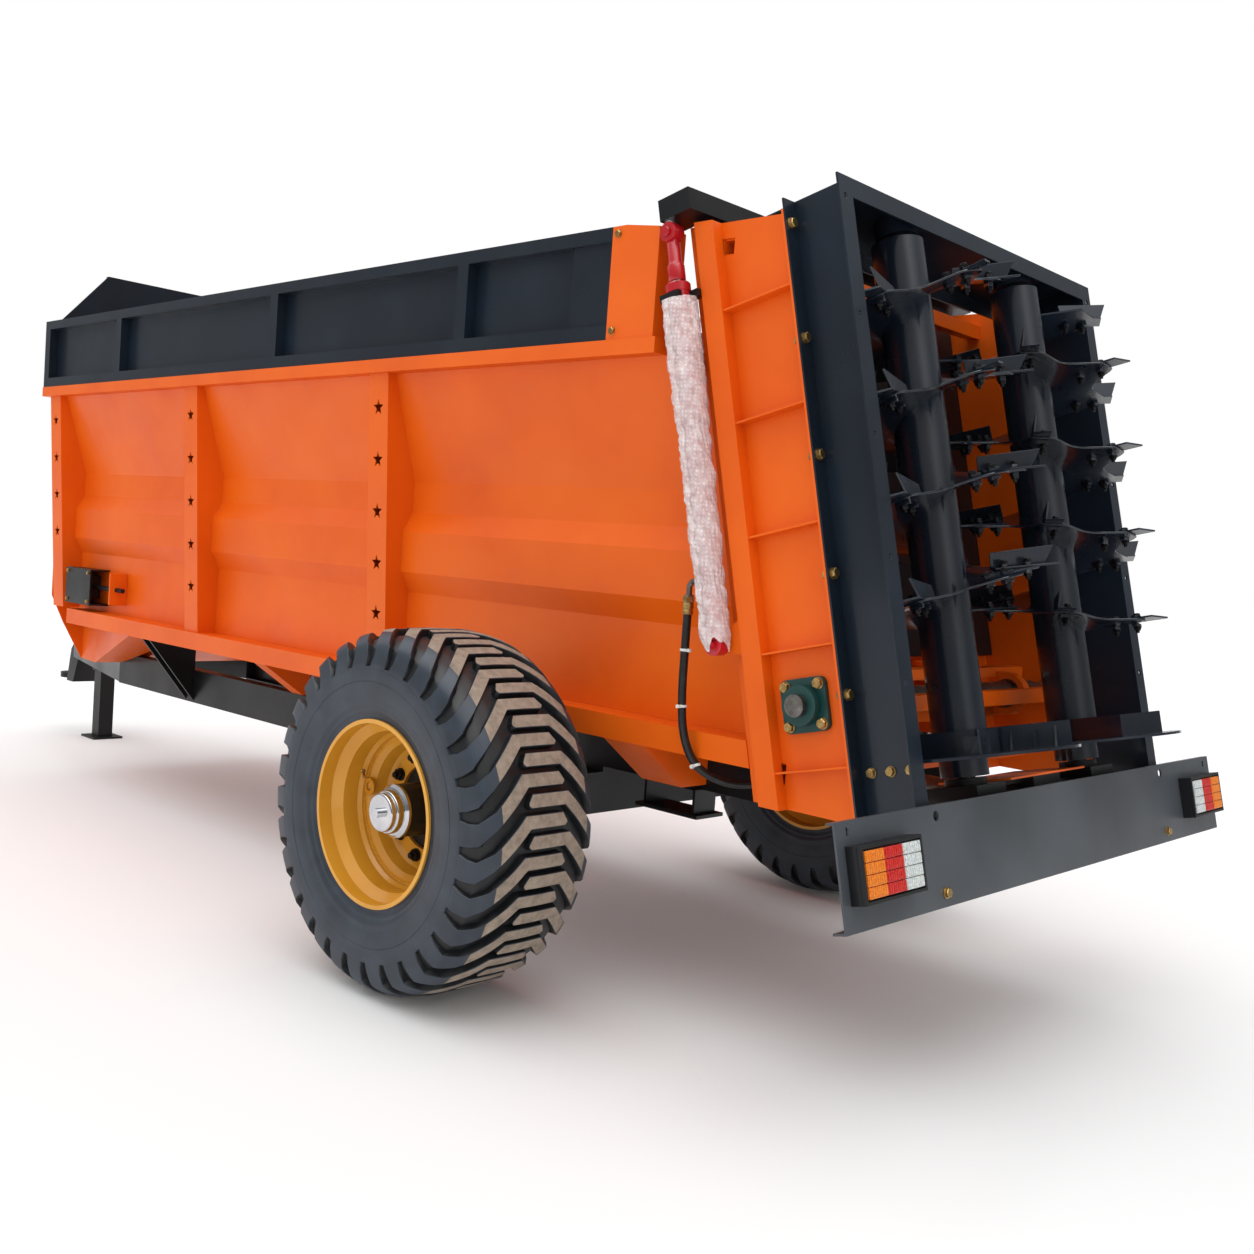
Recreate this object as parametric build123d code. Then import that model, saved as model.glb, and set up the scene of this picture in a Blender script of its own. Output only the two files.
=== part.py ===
from build123d import *
import os
from math import cos, degrees, pi, radians, sin, tan

os.makedirs("parts", exist_ok=True)

# A towed manure spreader with two upright beaters. Millimetres. +X is forward, +Y left, +Z up.
# Stations (x) are measured from the wheel axle and heights (z) from the ground. save() moves
# every piece by AXLE_X, which puts the origin under the middle of the whole machine.
AXLE_X = -1853.8

# Wheels
AXLE_Z = 585.0
TYRE_R = 585.0
TYRE_HALF = 240.0
WHEEL_Y = 1170.0
RIM_R = 297.0
SPINDLE_R = 45.0
RUNNING_GAP = 0.05
LUG_COUNT = 30
CROWN = [(585, 0), (582, 120), (568, 183), (536, 224), (463, 240)]
GROOVE_FLOOR = [(463, 231), (520, 210), (545, 172), (558, 115), (561, 0)]
DISC_BORE_R = 140.5
HUB_R = 85.0

# Chassis
RAIL_Y = (365.0, 435.0)
RAIL_Z = (510.0, 680.0)
UPPER_RAIL_Z = (680.0, 850.0)
RAIL_FRONT = 3790.0
RAIL_REAR = -1060.0
AXLE_HALF = 75.0
EYE_X = 5420.0
EYE_Z = 355.0
EYE_BORE_R = 25.0
JACK_X = 4920.0
JACK_HALF = 57.5
DRAWBAR_Z = (515.0, 629.0)
DRIVE_Z = 767.0
DRIVE_R = 34.0
STUB_R = 17.45

# Body
FRONT_X = 4000.0
SILL_Z = (850.0, 930.0)
SILL_Y = (653.0, 760.0)
SILL_FRONT = 3767.0
RIM_Z = (2080.0, 2130.0)
RIM_Y = (768.0, 830.0)
SHEET = 6.0
WALL_LINE = [(774, 2080), (651, 1670), (653, 1553), (695, 1477), (695, 1318), (650, 1238), (653, 930)]
POST_FRONTS = (3985.0, 2479.0, 987.0)
POST_WIDTH = 125.0
POST_TOP = (810.0, 2080.0)
POST_FOOT = (742.0, 930.0)
STAR_HEIGHTS = (1949.0, 1748.0, 1547.0, 1345.0, 1146.0)
STAR_R = 34.0
BOARD_Z = (2130.0, 2490.0)
BOARD_X = (-320.0, 4060.0)
BOARD_Y = (770.0, 822.0)

# Moving floor
SHAFT_X = -1170.0
SHAFT_Z = 1063.5
IDLER_X = 3640.0
SPROCKET_R = 50.0
CHAIN_R = (52.0, 86.0)
SLAT_COUNT = 28

# Rear assembly, built upright in its own frame and then leaned forward.
# In that frame x = 0 is the rear flange plane and z runs along the leaning posts.
LEAN = 13.7
LEAN_X = -1780.5
PLATE_Z = (800.0, 2620.0)
PLATE_DEPTH = 195.0
WEB_Y = (741.0, 747.0)
FLANGE_Y = 807.0
FLANGE_HOLES = (2559.0, 2220.0, 1881.0, 1542.0, 1203.0)
POST_X = (195.0, 573.0)
COLUMN_X = (452.0, 522.0)
POST_Y = (747.0, 755.0)
COLUMN_Y = 800.0
DOOR_X = (530.0, 556.0)
DOOR_Z = (1335.0, 2692.0)
CROSSBAR_Z = (2692.0, 2760.0)
CYLINDER_X = 590.0
CYLINDER_Y = 825.0
BARREL_R = 33.5
ROD_R = 20.0
BEATER_X = 88.0
BEATER_Y = 375.0
BEATER_R = 79.5
FLIGHT_R = 300.0
FLIGHT_PITCH = 293.0
FLIGHT_FOOT = 1370.0
FLIGHT_START = 44.0
FLIGHT_TURNS = 3.5
BLADE_TIP = 355.0
DISC_R = 330.0
DISC_Z = (985.0, 993.0)
BUMPER_Z = (612.0, 877.0)
BUMPER_HALF = 1220.5
GEARBOX_NOSE = 300.0
HOSE_R = 13.0

REAR = Pos(LEAN_X, 0, 0) * Rot(0, LEAN, 0)
FORWARD = (Align.CENTER, Align.CENTER, Align.MIN)


def block(x, y, z):
    """A box from its three (low, high) ranges."""
    centre = Pos((x[0] + x[1]) / 2, (y[0] + y[1]) / 2, (z[0] + z[1]) / 2)
    return centre * Box(x[1] - x[0], y[1] - y[0], z[1] - z[0])


def prism_x(outline, x):
    """A (y, z) outline carried along x."""
    face = Plane.YZ.offset(x[0]) * make_face(Polyline(*outline, close=True))
    return extrude(face, amount=x[1] - x[0], dir=(1, 0, 0))


def prism_y(outline, y):
    """An (x, z) outline carried along y."""
    plane = Plane(origin=(0, y[0], 0), x_dir=(1, 0, 0), z_dir=(0, -1, 0))
    face = plane * make_face(Polyline(*outline, close=True))
    return extrude(face, amount=y[1] - y[0], dir=(0, 1, 0))


def prism_z(outline, z):
    """An (x, y) outline carried along z."""
    face = Plane.XY.offset(z[0]) * make_face(Polyline(*outline, close=True))
    return extrude(face, amount=z[1] - z[0], dir=(0, 0, 1))


def bar(start, end, radius):
    """A round bar between two points."""
    axis = Vector(*end) - Vector(*start)
    plane = Plane(origin=start, z_dir=axis)
    return plane.location * Cylinder(radius, axis.length, align=FORWARD)


def turned(outline):
    """A (radius, y) outline turned about the wheel's axle line."""
    return revolve(make_face(Polyline(*outline, close=True)), Axis.Y)


def mirrored(piece):
    return mirror(piece, about=Plane.XZ)


def both(piece):
    return piece + mirrored(piece)


def save(name, piece):
    export_step(Pos(AXLE_X, 0, 0) * piece, f"parts/{name}.step")


def save_pair(name, left):
    save(name + "_left", left)
    save(name + "_right", mirrored(left))


# ---------------------------------------------------------------- wheels


def tyre():
    """Flotation tyre: a C-shaped carcass with two rows of bent lugs that run down the shoulders."""
    crown = [(r, -y) for r, y in CROWN[:0:-1]] + CROWN
    groove = GROOVE_FLOOR + [(r, -y) for r, y in GROOVE_FLOOR[-2::-1]]
    with BuildSketch() as section:
        with BuildLine():
            Polyline((292, 185), (292, 212), (307, 212))
            ThreePointArc((307, 212), (390, 236), (463, 240))
            Polyline((463, 240), *groove, (463, -240))
            ThreePointArc((463, -240), (390, -236), (307, -212))
            Polyline((307, -212), (292, -212), (292, -185), (320, -185))
            ThreePointArc((320, -185), (425, -206), (505, -175))
            Polyline((505, -175), (532, -110), (532, 110), (505, 175))
            ThreePointArc((505, 175), (425, 206), (320, 185))
            Line((320, 185), (292, 185))
        make_face()
    carcass = revolve(section.sketch, Axis.Y)
    inner = [(r - 6, y - 6 if y > 100 else y) for r, y in GROOVE_FLOOR]
    band = turned(crown + inner + [(r, -y) for r, y in inner[-2::-1]])
    # The tread part of a lug: a bar along y whose outer end bends back at 45 degrees.
    outline = [(0, 86), (0, -58), (-30, -74), (-41, -66), (-41, 70), (-159, 188), (-102, 188)]
    tread = prism_z([(x + 60, y) for x, y in outline], (500, TYRE_R + 5))
    lug = Rot(0, -degrees(60 / TYRE_R), 0) * (tread & band)
    # The shoulder part: a curved horn from the tread's edge down to the side, as (radius, degrees).
    horn = [(582, -6), (562, -9.6), (528, -13.4), (464, -12.2), (464, -21.3), (532, -20.2), (564, -16.1), (582, -12.2)]
    points = [(r * sin(radians(a)), r * cos(radians(a))) for r, a in horn]
    shoulder = prism_y(points, (150, 245)) & band
    lug = lug + shoulder
    step = 360 / LUG_COUNT
    row = [Rot(0, step * i, 0) * lug for i in range(LUG_COUNT)]
    other = [Rot(0, step * (i + 0.5), 0) * mirrored(lug) for i in range(LUG_COUNT)]
    return carcass.fuse(*row, *other)


def rim():
    """Welded rim with a drop centre and a dished ten-stud disc; the outer side is +y."""
    barrel = turned([
        (RIM_R, 221), (RIM_R, 213), (291.5, 213), (291.5, 178), (264, 150), (262, 96), (252, 84), (252, -120),
        (291.5, -170), (291.5, -213), (RIM_R, -213), (RIM_R, -221), (284, -221), (284, -164),
        (244, -116), (244, 80), (254, 92), (256, 146), (284, 174), (284, 221),
    ])
    disc = turned([
        (DISC_BORE_R, 0), (188, 0), (204, 14), (216, 52), (232, 66), (246, 66), (246, 54), (236, 54),
        (227, 46), (214, 8), (194, -12), (DISC_BORE_R, -12),
    ])
    for i in range(10):
        hole = bar((0, -20, 167.5), (0, 10, 167.5), 13)
        disc -= Rot(0, 36 * i + 24, 0) * hole
    return barrel + disc


def hub():
    """Hub barrel that reaches out through the disc's bore, with its bolting flange behind the disc."""
    bore = SPINDLE_R + RUNNING_GAP
    return turned([
        (bore, -140), (bore, 118), (HUB_R - 18, 118), (HUB_R - 18, 124), (HUB_R, 124), (HUB_R, -12.5),
        (195, -12.5), (195, -32), (HUB_R, -32), (HUB_R, -140),
    ])


def hub_cap():
    """Stepped bright cap with a screwed nose, just inside the rim's outer plane."""
    with BuildSketch() as section:
        with BuildLine():
            Polyline((0, 124.5), (86, 124.5), (86, 134), (76, 140), (70, 142), (70, 158))
            ThreePointArc((70, 158), (68, 163), (62, 165))
            Polyline((62, 165), (62, 176))
            ThreePointArc((62, 176), (60, 182), (54, 184))
            Polyline((54, 184), (15, 184), (15, 203), (0, 203), (0, 124.5))
        make_face()
    return revolve(section.sketch, Axis.Y)


def wheels():
    place = Pos(0, WHEEL_Y, AXLE_Z)
    for name, piece in (("tyre", tyre()), ("rim", rim()), ("hub", hub()), ("hub_cap", hub_cap())):
        save_pair(name, place * piece)


# ---------------------------------------------------------------- chassis


def axle():
    beam = block((-AXLE_HALF, AXLE_HALF), (-880, 880), (AXLE_Z - AXLE_HALF, AXLE_Z + AXLE_HALF))
    return beam + bar((0, -1280, AXLE_Z), (0, 1280, AXLE_Z), SPINDLE_R)


def chassis_rails():
    """Lower rails from the axle forward, with shorter upper rails on them to the rear."""
    lower = block((-AXLE_HALF, RAIL_FRONT), RAIL_Y, RAIL_Z)
    upper = block((RAIL_REAR, 420), RAIL_Y, UPPER_RAIL_Z)
    notch = block((-AXLE_HALF, AXLE_HALF), (300, 500), (400, AXLE_Z + AXLE_HALF))
    web = 8
    hollow = block((AXLE_HALF + 12, RAIL_FRONT), (300, RAIL_Y[1] - web), (RAIL_Z[0] + 10, RAIL_Z[1] - 10))
    hollow += block((RAIL_REAR, 420), (300, RAIL_Y[1] - web), (UPPER_RAIL_Z[0] + 10, UPPER_RAIL_Z[1] - 10))
    return both(lower + upper - notch - hollow)


def drawbar():
    """Two converging beams, a plate between their ends, and a cranked tongue with the tow eye."""
    low, high = DRAWBAR_Z
    start, middle, end = RAIL_FRONT, 4985, 5060
    inner = 80 + (RAIL_Y[0] - 80) * (end - middle) / (end - start)
    left = prism_z([(start, RAIL_Y[0]), (start, RAIL_Y[1]), (end, 150), (end, 80)], DRAWBAR_Z)
    plate = prism_z([(middle, -inner), (middle, inner), (end, 80), (end, -80)], DRAWBAR_Z)
    nose = prism_y([(end, low), (end, high), (5180, high), (5260, 550), (5310, EYE_Z - 25),
                    (5215, EYE_Z - 25), (5140, low)], (-80, 80))
    eye = Pos(EYE_X, 0, EYE_Z) * Cylinder(70, 34)
    neck = block((5300, EYE_X - 30), (-42, 42), (EYE_Z - 17, EYE_Z + 17))
    tongue = plate + nose + eye + neck - Pos(EYE_X, 0, EYE_Z) * Cylinder(EYE_BORE_R, 60)
    return Compound([left.solid(), mirrored(left).solid(), tongue.solid()])


def jack_housing():
    """Square outer tube with the gear head and its side crank."""
    half = JACK_HALF
    tube = block((JACK_X - half, JACK_X + half), (-half, half), (440, 900))
    bore = block((JACK_X - half + 6, JACK_X + half - 6), (-half + 6, half - 6), (430, 880))
    head = block((JACK_X - 48, JACK_X + 48), (-70, 70), (900, 960))
    shaft = bar((JACK_X, 60, 930), (JACK_X, 150, 930), 11)
    arm = block((JACK_X - 12, JACK_X + 12), (140, 152), (790, 945))
    grip = bar((JACK_X, 146, 805), (JACK_X, 260, 805), 14)
    lugs = block((JACK_X - half, 4985), (-78, -half), (530, 620))
    return tube - bore + head + shaft + arm + grip + lugs + mirrored(lugs)


def jack_leg():
    """Inner square leg and its foot plate."""
    half = JACK_HALF - 11
    leg = block((JACK_X - half, JACK_X + half), (-half, half), (10, 545))
    return leg + block((JACK_X - 95, JACK_X + 95), (-95, 95), (0, 12))


def chassis_brackets():
    """Rail hangers behind the axle and triangular gussets from the rails to the sills."""
    plates = block((-545, -535), (360, 470), (598, 680)) + block((-325, -315), (360, 470), (598, 680))
    hanger = plates + block((-570, -290), (345, 485), (586, 598))
    hanger += block((-545, -315), RAIL_Y, (670, 680))
    gusset = prism_x([(435, 520), (435, 850), (700, 850)], (2930, 2942))
    gusset += prism_x([(435, 520), (435, 850), (700, 850)], (3010, 3022))
    gusset += block((2930, 3022), (435, 700), (842, 850))
    return both(hanger + gusset)


def cross_bearers():
    """Tapered beams between the rails and the sills, with a wedge-shaped one under the front."""
    # station, half width, half length at the top, half length at the bottom, bottom height
    table = [(-470, 90, 760, 560, 700), (1900, 45, 700, 470, 690), (900, 45, 700, 470, 690)]
    belly = prism_y([(3994, 630), (3753, 630), (3022, 848), (3022, 850), (3994, 850)], (-760, 760))
    plan = [(3994, -567), (3753, -594), (3022, -760), (3022, 760), (3753, 594), (3994, 567)]
    whole = belly & prism_z(plan, (600, 900))
    for x, half, top, foot, low in table:
        whole += prism_x([(-top, 850), (-foot, low), (foot, low), (top, 850)], (x - half, x + half))
    gaps = both(block((-2000, RAIL_FRONT), RAIL_Y, (400, 850)))
    tunnel = bar((-2000, 0, DRIVE_Z), (4500, 0, DRIVE_Z), DRIVE_R + 8)
    return whole - gaps - tunnel


def driveline():
    """Shaft under the floor from the front stub to the rear gearboxes."""
    tube = bar((-1500, 0, DRIVE_Z), (3955, 0, DRIVE_Z), DRIVE_R) & leaned_limit(GEARBOX_NOSE)
    stub = bar((3955, 0, DRIVE_Z), (4060, 0, DRIVE_Z), STUB_R)
    return tube + stub


# ---------------------------------------------------------------- body


def leaned_limit(x, keep_front=True):
    """A large slab in front of (or behind) a plane of the leaned frame."""
    far = 9000
    span = (x, far) if keep_front else (-far, x)
    return REAR * block(span, (-3000, 3000), (-3000, 6000))


def side_wall():
    """Pressed side sheet, ribbed along its length, ending at the leaning rear post."""
    outer = WALL_LINE[:-1] + [(SILL_Y[0], SILL_Z[0])]
    inner = [(y - SHEET, z) for y, z in reversed(outer)]
    sheet = prism_x(outer + inner, (-1200, FRONT_X - SHEET))
    return sheet & leaned_limit(POST_X[1])


def star_face(height):
    """A five-pointed star on the leaning post face."""
    points = []
    for i in range(10):
        r = STAR_R if i % 2 == 0 else STAR_R * 0.42
        a = pi / 2 + pi * i / 5
        points.append((r * cos(a), height + r * sin(a)))
    return points


def side_posts():
    """Open-backed posts on the side sheet, with a row of stars cut in each face."""
    slope = (POST_TOP[0] - POST_FOOT[0]) / (POST_TOP[1] - POST_FOOT[1])
    outer = [POST_TOP] + WALL_LINE + [POST_FOOT]
    inner = [(POST_TOP[0] - 5, POST_TOP[1] + 1), (WALL_LINE[0][0] - 1, POST_TOP[1] + 1)]
    inner += [(y - 1, z) for y, z in WALL_LINE[1:-1]]
    inner += [(WALL_LINE[-1][0] - 1, POST_FOOT[1] + 6), (POST_FOOT[0] - 5 + 6 * slope, POST_FOOT[1] + 6)]
    posts = Part()
    for front in POST_FRONTS:
        solid = prism_x(outer, (front - POST_WIDTH, front))
        solid -= prism_x(inner, (front - POST_WIDTH + 5, front - 5))
        for height in STAR_HEIGHTS:
            if front == POST_FRONTS[0] and height == STAR_HEIGHTS[-1]:
                continue
            star = prism_y(star_face(height), (700, 900))
            solid -= Pos(front - POST_WIDTH / 2, 0, 0) * star
        posts += solid
    return posts


def sill():
    """Square tube along the foot of the side."""
    tube = block((-1200, SILL_FRONT), SILL_Y, SILL_Z)
    tube -= block((-1200, SILL_FRONT - 5), (SILL_Y[0] + 5, SILL_Y[1] - 5), (SILL_Z[0] + 5, SILL_Z[1] - 5))
    return tube & leaned_limit(POST_X[1])


def top_flange():
    return block((-543, 4050), RIM_Y, RIM_Z)


def front_wall():
    """Front sheet with wings beside the chain idler, tapered foot and upright stiffeners."""
    half = [(774, 2130), (774, 2080), (651, 1670), (651, 1175), (749, 1175), (749, 986), (681, 835), (569, 630)]
    sheet = prism_x(half + [(-y, z) for y, z in reversed(half)], (FRONT_X - SHEET, FRONT_X))
    sheet -= bar((3900, 0, DRIVE_Z), (4100, 0, DRIVE_Z), DRIVE_R + 8)
    sheet -= both(block((FRONT_X - 9, FRONT_X + 9), RIM_Y, RIM_Z))
    for y in (-330, 330):
        sheet += block((FRONT_X, FRONT_X + 50), (y - 40, y + 40), (860, 2120))
    sheet += block((FRONT_X, FRONT_X + 50), (-640, 640), (1560, 1640))
    return sheet


def side_extension():
    """Sideboard: a sheet with top and bottom rails, stanchions and a wide rear upright."""
    back, front = BOARD_X
    low, high = BOARD_Z
    board = block((back, front), (BOARD_Y[0], BOARD_Y[0] + 6), (low, high))
    board += block((back, front), BOARD_Y, (low, low + 50))
    board += block((back, front), BOARD_Y, (high - 45, high))
    for x in (3170, 1700, 430):
        board += block((x - 30, x + 30), BOARD_Y, (low, high))
    board += block((back, back + 190), (BOARD_Y[0], BOARD_Y[1] - 14), (low, high))
    return board + block((front - 60, front), BOARD_Y, (low, high))


def headboard():
    """Front board with sloping shoulders and a folded top."""
    outline = [(-769, 2130), (769, 2130), (769, 2490), (500, 2800), (-500, 2800), (-769, 2490)]
    sheet = prism_x(outline, (4030, 4036))
    return sheet + block((4036, 4060), (-500, 500), (2794, 2800)) + block((4036, 4060), (-769, 769), (2130, 2136))


def corner_gusset():
    """Folded orange plate that ties the sideboard to the rear post."""
    side = prism_y([(-320, 2130), (-320, 2490), (-380, 2490), (-524, 2470), (-524, 2130)], (816, 822))
    back = prism_x([(700, 2130), (700, 2470), (816, 2470), (816, 2130)], (-524, -518))
    return side + back


# ---------------------------------------------------------------- moving floor


def floor_pan():
    """Floor sheet carried on joists between the side sheets."""
    top = SHAFT_Z + CHAIN_R[0] - 2
    pan = block((-1060, IDLER_X - 90), (-644, 644), (top - SHEET, top))
    for i in range(7):
        x = -700 + 690 * i
        pan += block((x - 30, x + 30), (-644, 644), (SHAFT_Z - 30, top - SHEET))
    cover = block((IDLER_X + 60, FRONT_X - SHEET), (-644, 644), (SHAFT_Z + 87, SHAFT_Z + 91))
    return pan + cover


def loop(inner, outer, y):
    """One flat loop of chain round both shafts."""
    def ring(r):
        with BuildSketch(Plane.XZ) as section:
            SlotCenterToCenter(IDLER_X - SHAFT_X, 2 * r)
        return section.sketch
    middle = Pos((IDLER_X + SHAFT_X) / 2, y[0], SHAFT_Z)
    band = extrude(ring(outer), amount=y[1] - y[0], dir=(0, 1, 0))
    band -= extrude(ring(inner), amount=y[1] - y[0], dir=(0, 1, 0))
    return middle * band


def floor_chain():
    """Two chain loops joined by slats that run over and under the floor."""
    chain = loop(CHAIN_R[0], CHAIN_R[0] + 20, (430, 470)) + loop(CHAIN_R[0], CHAIN_R[0] + 20, (-470, -430))
    straight = IDLER_X - SHAFT_X
    slats = []
    for i in range(SLAT_COUNT // 2):
        x = SHAFT_X + 40 + straight * i / (SLAT_COUNT // 2)
        slats.append(block((x, x + 50), (-625, 625), (SHAFT_Z + CHAIN_R[0], SHAFT_Z + CHAIN_R[1])))
        slats.append(block((x, x + 50), (-625, 625), (SHAFT_Z - CHAIN_R[1], SHAFT_Z - CHAIN_R[0])))
    behind = block((SHAFT_X - CHAIN_R[1], SHAFT_X - CHAIN_R[0]), (-625, 625), (SHAFT_Z - 25, SHAFT_Z + 25))
    return chain.fuse(*slats, behind)


def chain_shafts():
    """Driven rear shaft with its sprockets, and the front idler."""
    whole = Part()
    for x, end in ((SHAFT_X, 822), (IDLER_X, 640)):
        shaft = bar((x, -end, SHAFT_Z), (x, end, SHAFT_Z), 32.5)
        shaft += bar((x, -600, SHAFT_Z), (x, 600, SHAFT_Z), 42)
        for y in (-450, 450):
            shaft += bar((x, y - 12, SHAFT_Z), (x, y + 12, SHAFT_Z), SPROCKET_R)
        whole += shaft
    return whole


def shaft_bearing():
    """Square four-bolt flange bearing on the outside of the rear post."""
    half = 77.5
    flange = Pos(SHAFT_X, 764, SHAFT_Z) * Rot(90, 0, 0) * extrude(RectangleRounded(155, 155, 22), 16)
    boss = bar((SHAFT_X, 757, SHAFT_Z), (SHAFT_X, 800, SHAFT_Z), 58)
    hole = bar((SHAFT_X, 700, SHAFT_Z), (SHAFT_X, 900, SHAFT_Z), 32.6)
    place = Pos(SHAFT_X, 0, SHAFT_Z) * Rot(0, LEAN, 0) * Pos(-SHAFT_X, 0, -SHAFT_Z)
    flange = Pos(0, 7.1, 0) * flange
    return place * (flange + boss - hole)


def tensioner():
    """Chain tensioner beside the idler: guard box open to the rear, and its threaded rod."""
    inner = WALL_LINE[-1][0]
    guard = block((3496, 3792), (inner, 760), (965, 1157))
    guard -= block((3490, 3784), (inner, 752), (973, 1149))
    block_y = (inner + 12, 740)
    carrier = block((IDLER_X - 60, IDLER_X + 60), block_y, (SHAFT_Z - 60, SHAFT_Z + 60))
    carrier += block((IDLER_X - 20, IDLER_X + 20), (740, 752), (SHAFT_Z - 40, SHAFT_Z + 40))
    return guard + carrier + bar((3225, 705, SHAFT_Z), (IDLER_X - 55, 705, SHAFT_Z), 12)


def tensioner_bracket():
    """Yoke on the side sheet that the tensioner's rod pulls against."""
    inner = WALL_LINE[-1][0]
    yoke = block((3290, 3300), (inner, 745), (985, 1150))
    yoke -= bar((3200, 705, SHAFT_Z), (3400, 705, SHAFT_Z), 14)
    return yoke + block((3300, 3492), (inner, inner + 5), (985, 1150))


# ---------------------------------------------------------------- rear assembly


def between_levels(piece, low, high):
    """Cut a leaned piece off level at a bottom and a top height."""
    return piece & block((-4000, 4000), (-2000, 2000), (low, high))


def rear_post():
    """Orange post: a web with a box column in front, a bolting flange behind and ribs between."""
    tall = (500, 2900)
    web = block(POST_X, POST_Y, tall)
    flange = block((POST_X[0], POST_X[0] + 8), (POST_Y[0], COLUMN_Y), tall)
    column = block(COLUMN_X, (POST_Y[0], COLUMN_Y), tall)
    column -= block((COLUMN_X[0] + 5, COLUMN_X[1] - 5), (POST_Y[1], COLUMN_Y - 5), tall)
    jamb = block((POST_X[1] - 8, POST_X[1]), (645, POST_Y[0]), tall)
    post = web + flange + column + jamb
    for height in (2371, 2026, 1682, 1338, 994):
        post += block((POST_X[0], COLUMN_X[0]), (POST_Y[0], COLUMN_Y - 4), (height - 3, height + 3))
    post = between_levels(REAR * post, 755, 2470)
    post -= bar((SHAFT_X, 700, SHAFT_Z), (SHAFT_X, 790, SHAFT_Z), 40)
    post -= block((-771, -721), (700, 760), (2371, 2421))
    post -= block((-1114, -1074), (700, 760), (815, 885))
    for height in FLANGE_HOLES[1:]:
        post -= REAR * bar((150, 777, height - 12), (250, 777, height - 12), 8)
    lug = prism_y([(522, 1345), (522, 1455), (575, 1425), (622, 1400), (622, 1370)], (COLUMN_Y - 22, COLUMN_Y - 10))
    return post + REAR * lug


def cross_tubes():
    """Two square tubes that tie the rear posts together; their open ends show in the webs."""
    upper = block((-771, -721), (-747, 747), (2371, 2421)) - block((-766, -726), (-747, 747), (2376, 2416))
    lower = block((-1114, -1074), (-747, 747), (815, 885)) - block((-1109, -1079), (-747, 747), (820, 880))
    return upper + lower


def side_plate():
    """Black channel that carries the beaters: web, and a flange turned out at each edge."""
    plate = block((0, PLATE_DEPTH), WEB_Y, PLATE_Z)
    plate += block((0, 6), (WEB_Y[0], FLANGE_Y), PLATE_Z)
    plate += block((PLATE_DEPTH - 6, PLATE_DEPTH), (WEB_Y[0], FLANGE_Y - 6), PLATE_Z)
    for height in FLANGE_HOLES:
        plate -= bar((-10, 777, height), (20, 777, height), 9)
    for height in FLANGE_HOLES[1:]:
        plate -= bar((150, 777, height - 12), (250, 777, height - 12), 8)
    return REAR * plate


def top_beam():
    """Folded cover between the side plates, with a bearing under it for each beater."""
    half = WEB_Y[0]
    top = PLATE_Z[1]
    cover = block((0, 300), (-half, half), (top - 6, top))
    cover += block((0, 6), (-half, half), (top - 58, top)) + block((294, 300), (-half, half), (top - 58, top))
    housing = bar((BEATER_X, BEATER_Y, 2560), (BEATER_X, BEATER_Y, top - 6), 62)
    housing -= bar((BEATER_X, BEATER_Y, 2500), (BEATER_X, BEATER_Y, 2600), 25 + RUNNING_GAP)
    return REAR * (cover + both(housing))


def bottom_beam():
    """Box beam under the beaters with the bumper arms."""
    beam = block((15, 165), (-741, 741), (690, 820))
    arms = block((-21, 15), (560, 600), (700, 810)) + block((-21, 15), (-600, -560), (700, 810))
    return REAR * (beam + arms)


def gearboxes():
    """A gearbox under each beater, driven from the one in the middle."""
    case = block((BEATER_X - 80, BEATER_X + 80), (BEATER_Y - 85, BEATER_Y + 85), (820, 905))
    neck = bar((BEATER_X, BEATER_Y, 905), (BEATER_X, BEATER_Y, 925), 60)
    case = case + neck - bar((BEATER_X, BEATER_Y, 860), (BEATER_X, BEATER_Y, 930), 30 + RUNNING_GAP)
    middle = block((20, GEARBOX_NOSE), (-90, 90), (820, 905))
    shaft = bar((BEATER_X, 90, 862), (BEATER_X, BEATER_Y - 85, 862), 24)
    return REAR * (both(case + shaft) + middle)


def gearbox_plate():
    plate = block((10, 250), (-250, 250), (905, 911))
    return REAR * plate


def bumper():
    """Full-width rear plate with a folded lip along its top and bottom."""
    low, high = BUMPER_Z
    plate = block((-27, -21), (-BUMPER_HALF, BUMPER_HALF), BUMPER_Z)
    plate += block((-27, 12), (-BUMPER_HALF, BUMPER_HALF), (low, low + 6))
    plate += block((-27, -3), (-BUMPER_HALF, BUMPER_HALF), (high - 6, high))
    for y in (-756, 756):
        plate -= bar((-40, y, 848), (0, y, 848), 14)
    for y in (-1167, 1167):
        plate -= bar((-40, y, 856), (0, y, 856), 8) + bar((-40, y, 846), (0, y, 846), 8)
    return REAR * plate


def lamps():
    """Lamp boxes on the bumper: a frame round three columns of lenses."""
    case = block((-72, -27.2), (930, 1175), (655, 820))
    case -= block((-80, -60), (942, 1163), (667, 808))
    return REAR * both(case)


def lamp_lenses():
    """Three lens blocks a side."""
    whole = Part()
    for i in range(3):
        y = 946 + 72.5 * i
        whole += block((-76, -60.2), (y, y + 68), (671, 804))
    return REAR * both(whole)


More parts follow.
